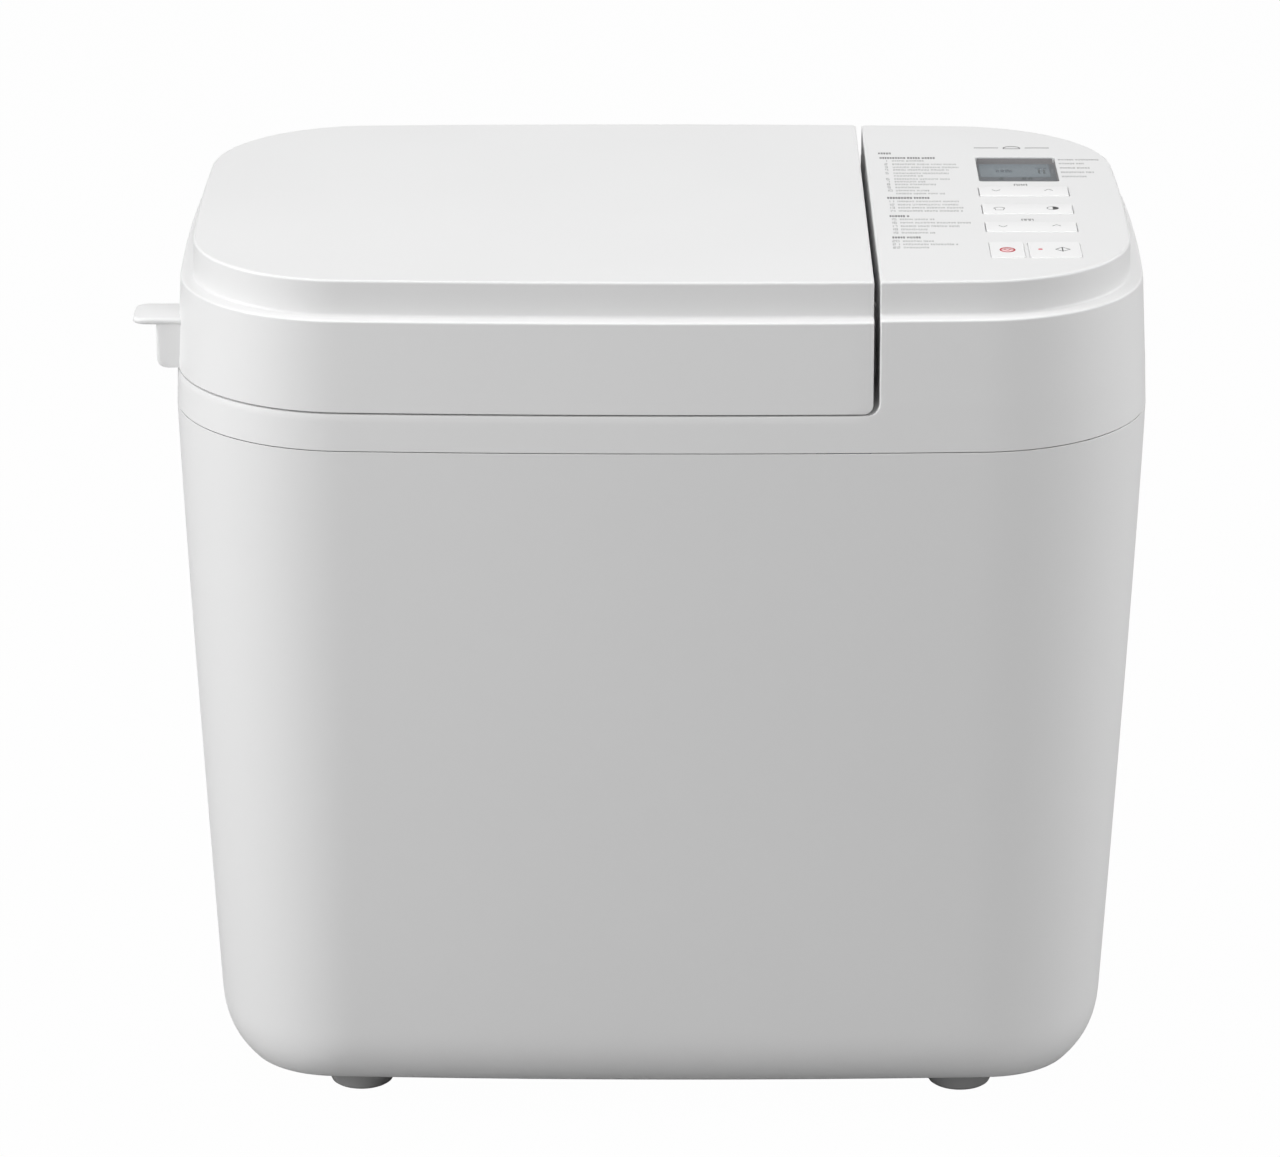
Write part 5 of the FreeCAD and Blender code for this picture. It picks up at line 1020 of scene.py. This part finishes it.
def make_floor():
    """Pale paper floor, lifted towards white where it is looked at, so that only a faint shadow
    is left on it."""
    half = 6.0
    mesh = bpy.data.meshes.new("floor")
    mesh.from_pydata([(-half, -half, 0), (half, -half, 0), (half, half, 0), (-half, half, 0)], [],
                     [(0, 1, 2, 3)])
    floor = bpy.data.objects.new("floor", mesh)
    bpy.context.scene.collection.objects.link(floor)
    paper = bpy.data.materials.new("floor_paper")
    paper.use_nodes = True
    nodes, links = paper.node_tree.nodes, paper.node_tree.links
    shader = nodes["Principled BSDF"]
    shader.inputs["Base Color"].default_value = (0.38, 0.38, 0.38, 1)
    shader.inputs["Roughness"].default_value = 0.9
    glow = nodes.new("ShaderNodeEmission")
    path = nodes.new("ShaderNodeLightPath")
    share = nodes.new("ShaderNodeMath")
    share.operation = "MULTIPLY"
    share.inputs[1].default_value = FLOOR_LIFT
    mix = nodes.new("ShaderNodeMixShader")
    links.new(path.outputs["Is Camera Ray"], share.inputs[0])
    links.new(share.outputs[0], mix.inputs["Fac"])
    links.new(shader.outputs[0], mix.inputs[1])
    links.new(glow.outputs[0], mix.inputs[2])
    links.new(mix.outputs[0], nodes["Material Output"].inputs["Surface"])
    mesh.materials.append(paper)


def make_camera():
    """Long lens from the front and above, aimed a little left of straight back."""
    data = bpy.data.cameras.new("camera")
    data.sensor_width = 36
    data.lens = 163.7
    camera = bpy.data.objects.new("camera", data)
    pitch = math.radians(19.61)
    yaw = math.radians(0.2216)
    rise = math.radians(19.93)
    camera.location = (MIDDLE_X, -2.44 * math.cos(rise), 0.181 + 2.44 * math.sin(rise))
    aim = Vector((-math.sin(yaw) * math.cos(pitch), math.cos(yaw) * math.cos(pitch), -math.sin(pitch)))
    camera.rotation_euler = aim.to_track_quat("-Z", "Y").to_euler()
    bpy.context.scene.collection.objects.link(camera)
    bpy.context.scene.camera = camera
    bpy.context.scene.view_settings.view_transform = "Standard"


make_world()
make_floor()
for light_name, (place, target, size, power) in LIGHTS.items():
    area_light(light_name, place, target, size, power)
make_camera()


# ---- surface effects ------------------------------------------------------------------------
class Effect:
    """A shader group with a colour, a roughness, a drift and a scale going in, and a colour, a
    roughness and a height coming out. Its patterns read Object coordinates."""

    def __init__(self, name, extra=()):
        """extra lists further inputs as name, kind and value."""
        self.group = bpy.data.node_groups.new(name, "ShaderNodeTree")
        face = self.group.interface
        given = (("Colour", "Color", (0.8, 0.8, 0.8, 1)), ("Drift", "Float", 0.02),
                 ("Roughness", "Float", 0.4), ("Scale", "Float", 1000.0)) + tuple(extra)
        for label, kind, value in given:
            socket = face.new_socket(label, in_out="INPUT", socket_type="NodeSocket" + kind)
            socket.default_value = value
        for label, kind in (("Colour", "Color"), ("Roughness", "Float"), ("Height", "Float")):
            face.new_socket(label, in_out="OUTPUT", socket_type="NodeSocket" + kind)
        self.inlet = self.group.nodes.new("NodeGroupInput").outputs
        self.outlet = self.group.nodes.new("NodeGroupOutput").inputs
        self.place = self.group.nodes.new("ShaderNodeTexCoord").outputs["Object"]

    def node(self, kind, sockets):
        """A new node with a number set or a socket joined at each of its named inputs."""
        made = self.group.nodes.new("ShaderNode" + kind)
        for label, value in sockets.items():
            if isinstance(value, bpy.types.NodeSocket):
                self.group.links.new(value, made.inputs[label])
            else:
                made.inputs[label].default_value = value
        return made

    def noise(self, source, scale, detail):
        """Noise over the source's coordinates."""
        return self.node("TexNoise", {"Vector": source, "Scale": scale, "Detail": detail}).outputs["Fac"]

    def sum(self, kind, *values):
        """One step of arithmetic."""
        made = self.node("Math", dict(enumerate(values)))
        made.operation = kind
        return made.outputs[0]

    def shade(self, spread):
        """The group's colour, lighter and darker by its drift times the spread."""
        value = self.sum("MULTIPLY_ADD", spread, self.inlet["Drift"], 1.0)
        return self.node("HueSaturation", {"Color": self.inlet["Colour"], "Value": value}).outputs["Color"]

    def put(self, colour, spread, share, height):
        """Joins the outputs; the roughness moves by share of the spread."""
        rough = self.sum("MULTIPLY_ADD", spread, share, self.inlet["Roughness"])
        for label, value in (("Colour", colour), ("Roughness", rough), ("Height", height)):
            self.group.links.new(value, self.outlet[label])
        return self.group


def moulded_group():
    """Moulded plastic or rubber: a fine spark-eroded grain in height, and slow drifts in shade
    and roughness."""
    effect = Effect("moulded_grain")
    spread = effect.sum("SUBTRACT", effect.noise(effect.place, 9.0, 3), 0.5)
    grain = effect.noise(effect.place, effect.inlet["Scale"], 3)
    return effect.put(effect.shade(spread), spread, 0.12, grain)


def brushed_group():
    """Metal drawn or ground along X: noise stretched along that way, in shade, roughness and
    height, over slow smears."""
    effect = Effect("brushed_metal")
    stretch = effect.node("Mapping", {"Vector": effect.place, "Scale": (0.03, 1.0, 1.0)})
    lines = effect.noise(stretch.outputs["Vector"], effect.inlet["Scale"], 4)
    smear = effect.sum("MULTIPLY", effect.noise(effect.place, 18.0, 4), 0.5)
    spread = effect.sum("SUBTRACT", effect.sum("MULTIPLY_ADD", lines, 0.5, smear), 0.5)
    return effect.put(effect.shade(spread), spread, 0.5, lines)


def coated_group():
    """Non-stick coating: a dark ground with small pale flecks and a fine orange-peel height."""
    effect = Effect("speckled_coating", [("Fleck Colour", "Color", (0.35, 0.35, 0.36, 1))])
    cells = effect.node("TexVoronoi", {"Vector": effect.place, "Scale": effect.inlet["Scale"]})
    small = effect.sum("LESS_THAN", cells.outputs["Distance"], 0.16)
    some = effect.sum("GREATER_THAN", effect.noise(effect.place, 260.0, 1), 0.54)
    slow = effect.noise(effect.place, 14.0, 3)
    mix = effect.group.nodes.new("ShaderNodeMix")
    mix.data_type = "RGBA"
    ends = {"Factor": effect.sum("MULTIPLY", small, some), "B": effect.inlet["Fleck Colour"],
            "A": effect.shade(effect.sum("SUBTRACT", slow, 0.5))}
    for label, value in ends.items():
        effect.group.links.new(value, mix.inputs[label])
    return effect.put(mix.outputs["Result"], slow, 0.16, effect.noise(effect.place, 1400.0, 2))


def finish(name, group, settings, shade, roughness, scale, bump, drift):
    """A material whose colour, roughness and height come from a group; the rest is set on the
    shader."""
    material = bpy.data.materials.new(name)
    material.use_nodes = True
    nodes, links = material.node_tree.nodes, material.node_tree.links
    shader = nodes["Principled BSDF"]
    effect = nodes.new("ShaderNodeGroup")
    effect.node_tree = group
    given = {"Colour": (*shade, 1), "Roughness": roughness, "Scale": scale, "Drift": drift}
    for label, value in given.items():
        effect.inputs[label].default_value = value
    links.new(effect.outputs["Colour"], shader.inputs["Base Color"])
    links.new(effect.outputs["Roughness"], shader.inputs["Roughness"])
    relief = nodes.new("ShaderNodeBump")
    relief.inputs["Strength"].default_value = bump
    relief.inputs["Distance"].default_value = 0.1 * MM
    links.new(effect.outputs["Height"], relief.inputs["Height"])
    links.new(relief.outputs["Normal"], shader.inputs["Normal"])
    for label, value in settings.items():
        shader.inputs[label].default_value = value
    return material


def grey(value):
    """A neutral shade."""
    return (value, value, value)


# Each finish: shade, roughness, scale of its pattern, strength of its relief, drift in shade.
MOULDED, BRUSHED, COATED = moulded_group(), brushed_group(), coated_group()
TABLE = (
    (MOULDED, {}, {
        "casing_white": (grey(0.80), 0.42, 2500.0, 0.10, 0.02),
        "lid_white": (grey(0.80), 0.42, 2500.0, 0.10, 0.02),
        "key_white": (grey(0.87), 0.38, 2500.0, 0.06, 0.02),
        "base_grey": (grey(0.34), 0.6, 900.0, 0.4, 0.08),
        "foot_rubber": (grey(0.52), 0.7, 900.0, 0.3, 0.06),
        "belt_rubber": (grey(0.02), 0.65, 700.0, 0.4, 0.2),
        "seal_silicone": ((0.33, 0.34, 0.35), 0.5, 600.0, 0.15, 0.08),
        "display_panel": ((0.085, 0.095, 0.105), 0.35, 1200.0, 0.02, 0.1),
        "lamp_red": ((0.62, 0.03, 0.05), 0.3, 1200.0, 0.02, 0.1),
        "ceramic": ((0.80, 0.77, 0.70), 0.45, 500.0, 0.2, 0.06),
        "board_green": ((0.015, 0.09, 0.035), 0.4, 400.0, 0.3, 0.5),
        "component_black": (grey(0.03), 0.45, 900.0, 0.2, 0.2),
        "capacitor_blue": ((0.03, 0.05, 0.22), 0.3, 700.0, 0.1, 0.2),
        "carrier_grey": (grey(0.28), 0.5, 900.0, 0.2, 0.05),
        "gland_black": (grey(0.022), 0.5, 900.0, 0.3, 0.2),
        "well_brown": ((0.250, 0.228, 0.226), 0.6, 900.0, 0.1, 0.1),
        "screen_blue": ((0.175, 0.215, 0.240), 0.25, 700.0, 0.02, 0.12),
        "figure_grey": ((0.100, 0.130, 0.155), 0.3, 700.0, 0.02, 0.1),
        "mark_dark": ((0.025, 0.045, 0.045), 0.3, 700.0, 0.02, 0.1),
        "ink_pale": (grey(0.42), 0.6, 1500.0, 0.05, 0.1),
        "ink_grey": (grey(0.20), 0.6, 1500.0, 0.05, 0.1),
        "ink_dark": (grey(0.09), 0.6, 1500.0, 0.05, 0.1),
        "ink_red": ((0.50, 0.035, 0.05), 0.5, 1500.0, 0.05, 0.1),
        "ink_lamp": ((0.72, 0.14, 0.17), 0.4, 1500.0, 0.05, 0.1),
        "ink_blush": ((0.86, 0.60, 0.61), 0.5, 1500.0, 0.05, 0.1),
    }),
    (MOULDED, {"Alpha": 0.10}, {
        "lens_clear": ((0.60, 0.62, 0.64), 0.06, 300.0, 0.01, 0.02),
    }),
    (COATED, {}, {
        "pan_coating": ((0.030, 0.030, 0.032), 0.30, 900.0, 0.25, 0.3),
        "blade_coating": ((0.034, 0.034, 0.036), 0.28, 900.0, 0.25, 0.3),
    }),
    (BRUSHED, {"Metallic": 1.0}, {
        "liner_aluminium": ((0.72, 0.72, 0.73), 0.30, 1100.0, 0.2, 0.25),
        "wire_steel": (grey(0.66), 0.18, 1500.0, 0.1, 0.2),
        "shaft_steel": (grey(0.62), 0.22, 1500.0, 0.15, 0.2),
        "bronze": ((0.62, 0.40, 0.17), 0.35, 900.0, 0.2, 0.3),
        "pulley_aluminium": (grey(0.60), 0.42, 500.0, 0.5, 0.3),
        "zinc_steel": ((0.66, 0.67, 0.70), 0.26, 700.0, 0.2, 0.35),
    }),
    (BRUSHED, {"Metallic": 0.7}, {
        "chamber_steel": (grey(0.60), 0.40, 900.0, 0.25, 0.3),
        "motor_steel": ((0.20, 0.21, 0.23), 0.4, 500.0, 0.3, 0.3),
    }),
    (BRUSHED, {"Metallic": 0.8}, {
        "heater_steel": ((0.12, 0.11, 0.10), 0.5, 600.0, 0.3, 0.5),
    }),
)
OWN_NAME = {"casing_white": "satin_white", "lid_white": "satin_white_lid", "display_panel": "screen_frame"}
FINISHES = {name: finish(OWN_NAME.get(name, name), group, settings, *row)
            for group, settings, rows in TABLE for name, row in rows.items()}


def painted(piece, material):
    """Gives a new piece its only material."""
    piece.data.materials.clear()
    piece.data.materials.append(material)


SPECIAL = {"display_lens": "lens_clear", "display_well": "well_brown", "screen_field": "screen_blue",
           "screen_figures": "figure_grey", "screen_marks": "mark_dark", "programme_list": "ink_pale",
           "list_headings": "ink_grey", "loaf_mark": "ink_grey", "menu_chevrons": "ink_grey",
           "timer_chevrons": "ink_grey", "size_symbols": "ink_grey", "crust_shade": "ink_dark",
           "stop_symbol": "ink_red", "start_lamp_dot": "ink_lamp", "stop_field": "ink_blush",
           "start_symbol": "ink_dark"}
for made in [piece for piece in bpy.context.scene.objects if piece.type == "MESH" and "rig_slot" in piece]:
    painted(made, FINISHES[SPECIAL.get(made.name, made["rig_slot"])])
for subpart in frame["record"]["subparts"]:
    node = frame["nodes"][subpart["node"]]
    material = FINISHES.get(subpart["material_slot"])
    if material is not None:
        for place in node.material_slots:
            place.material = material
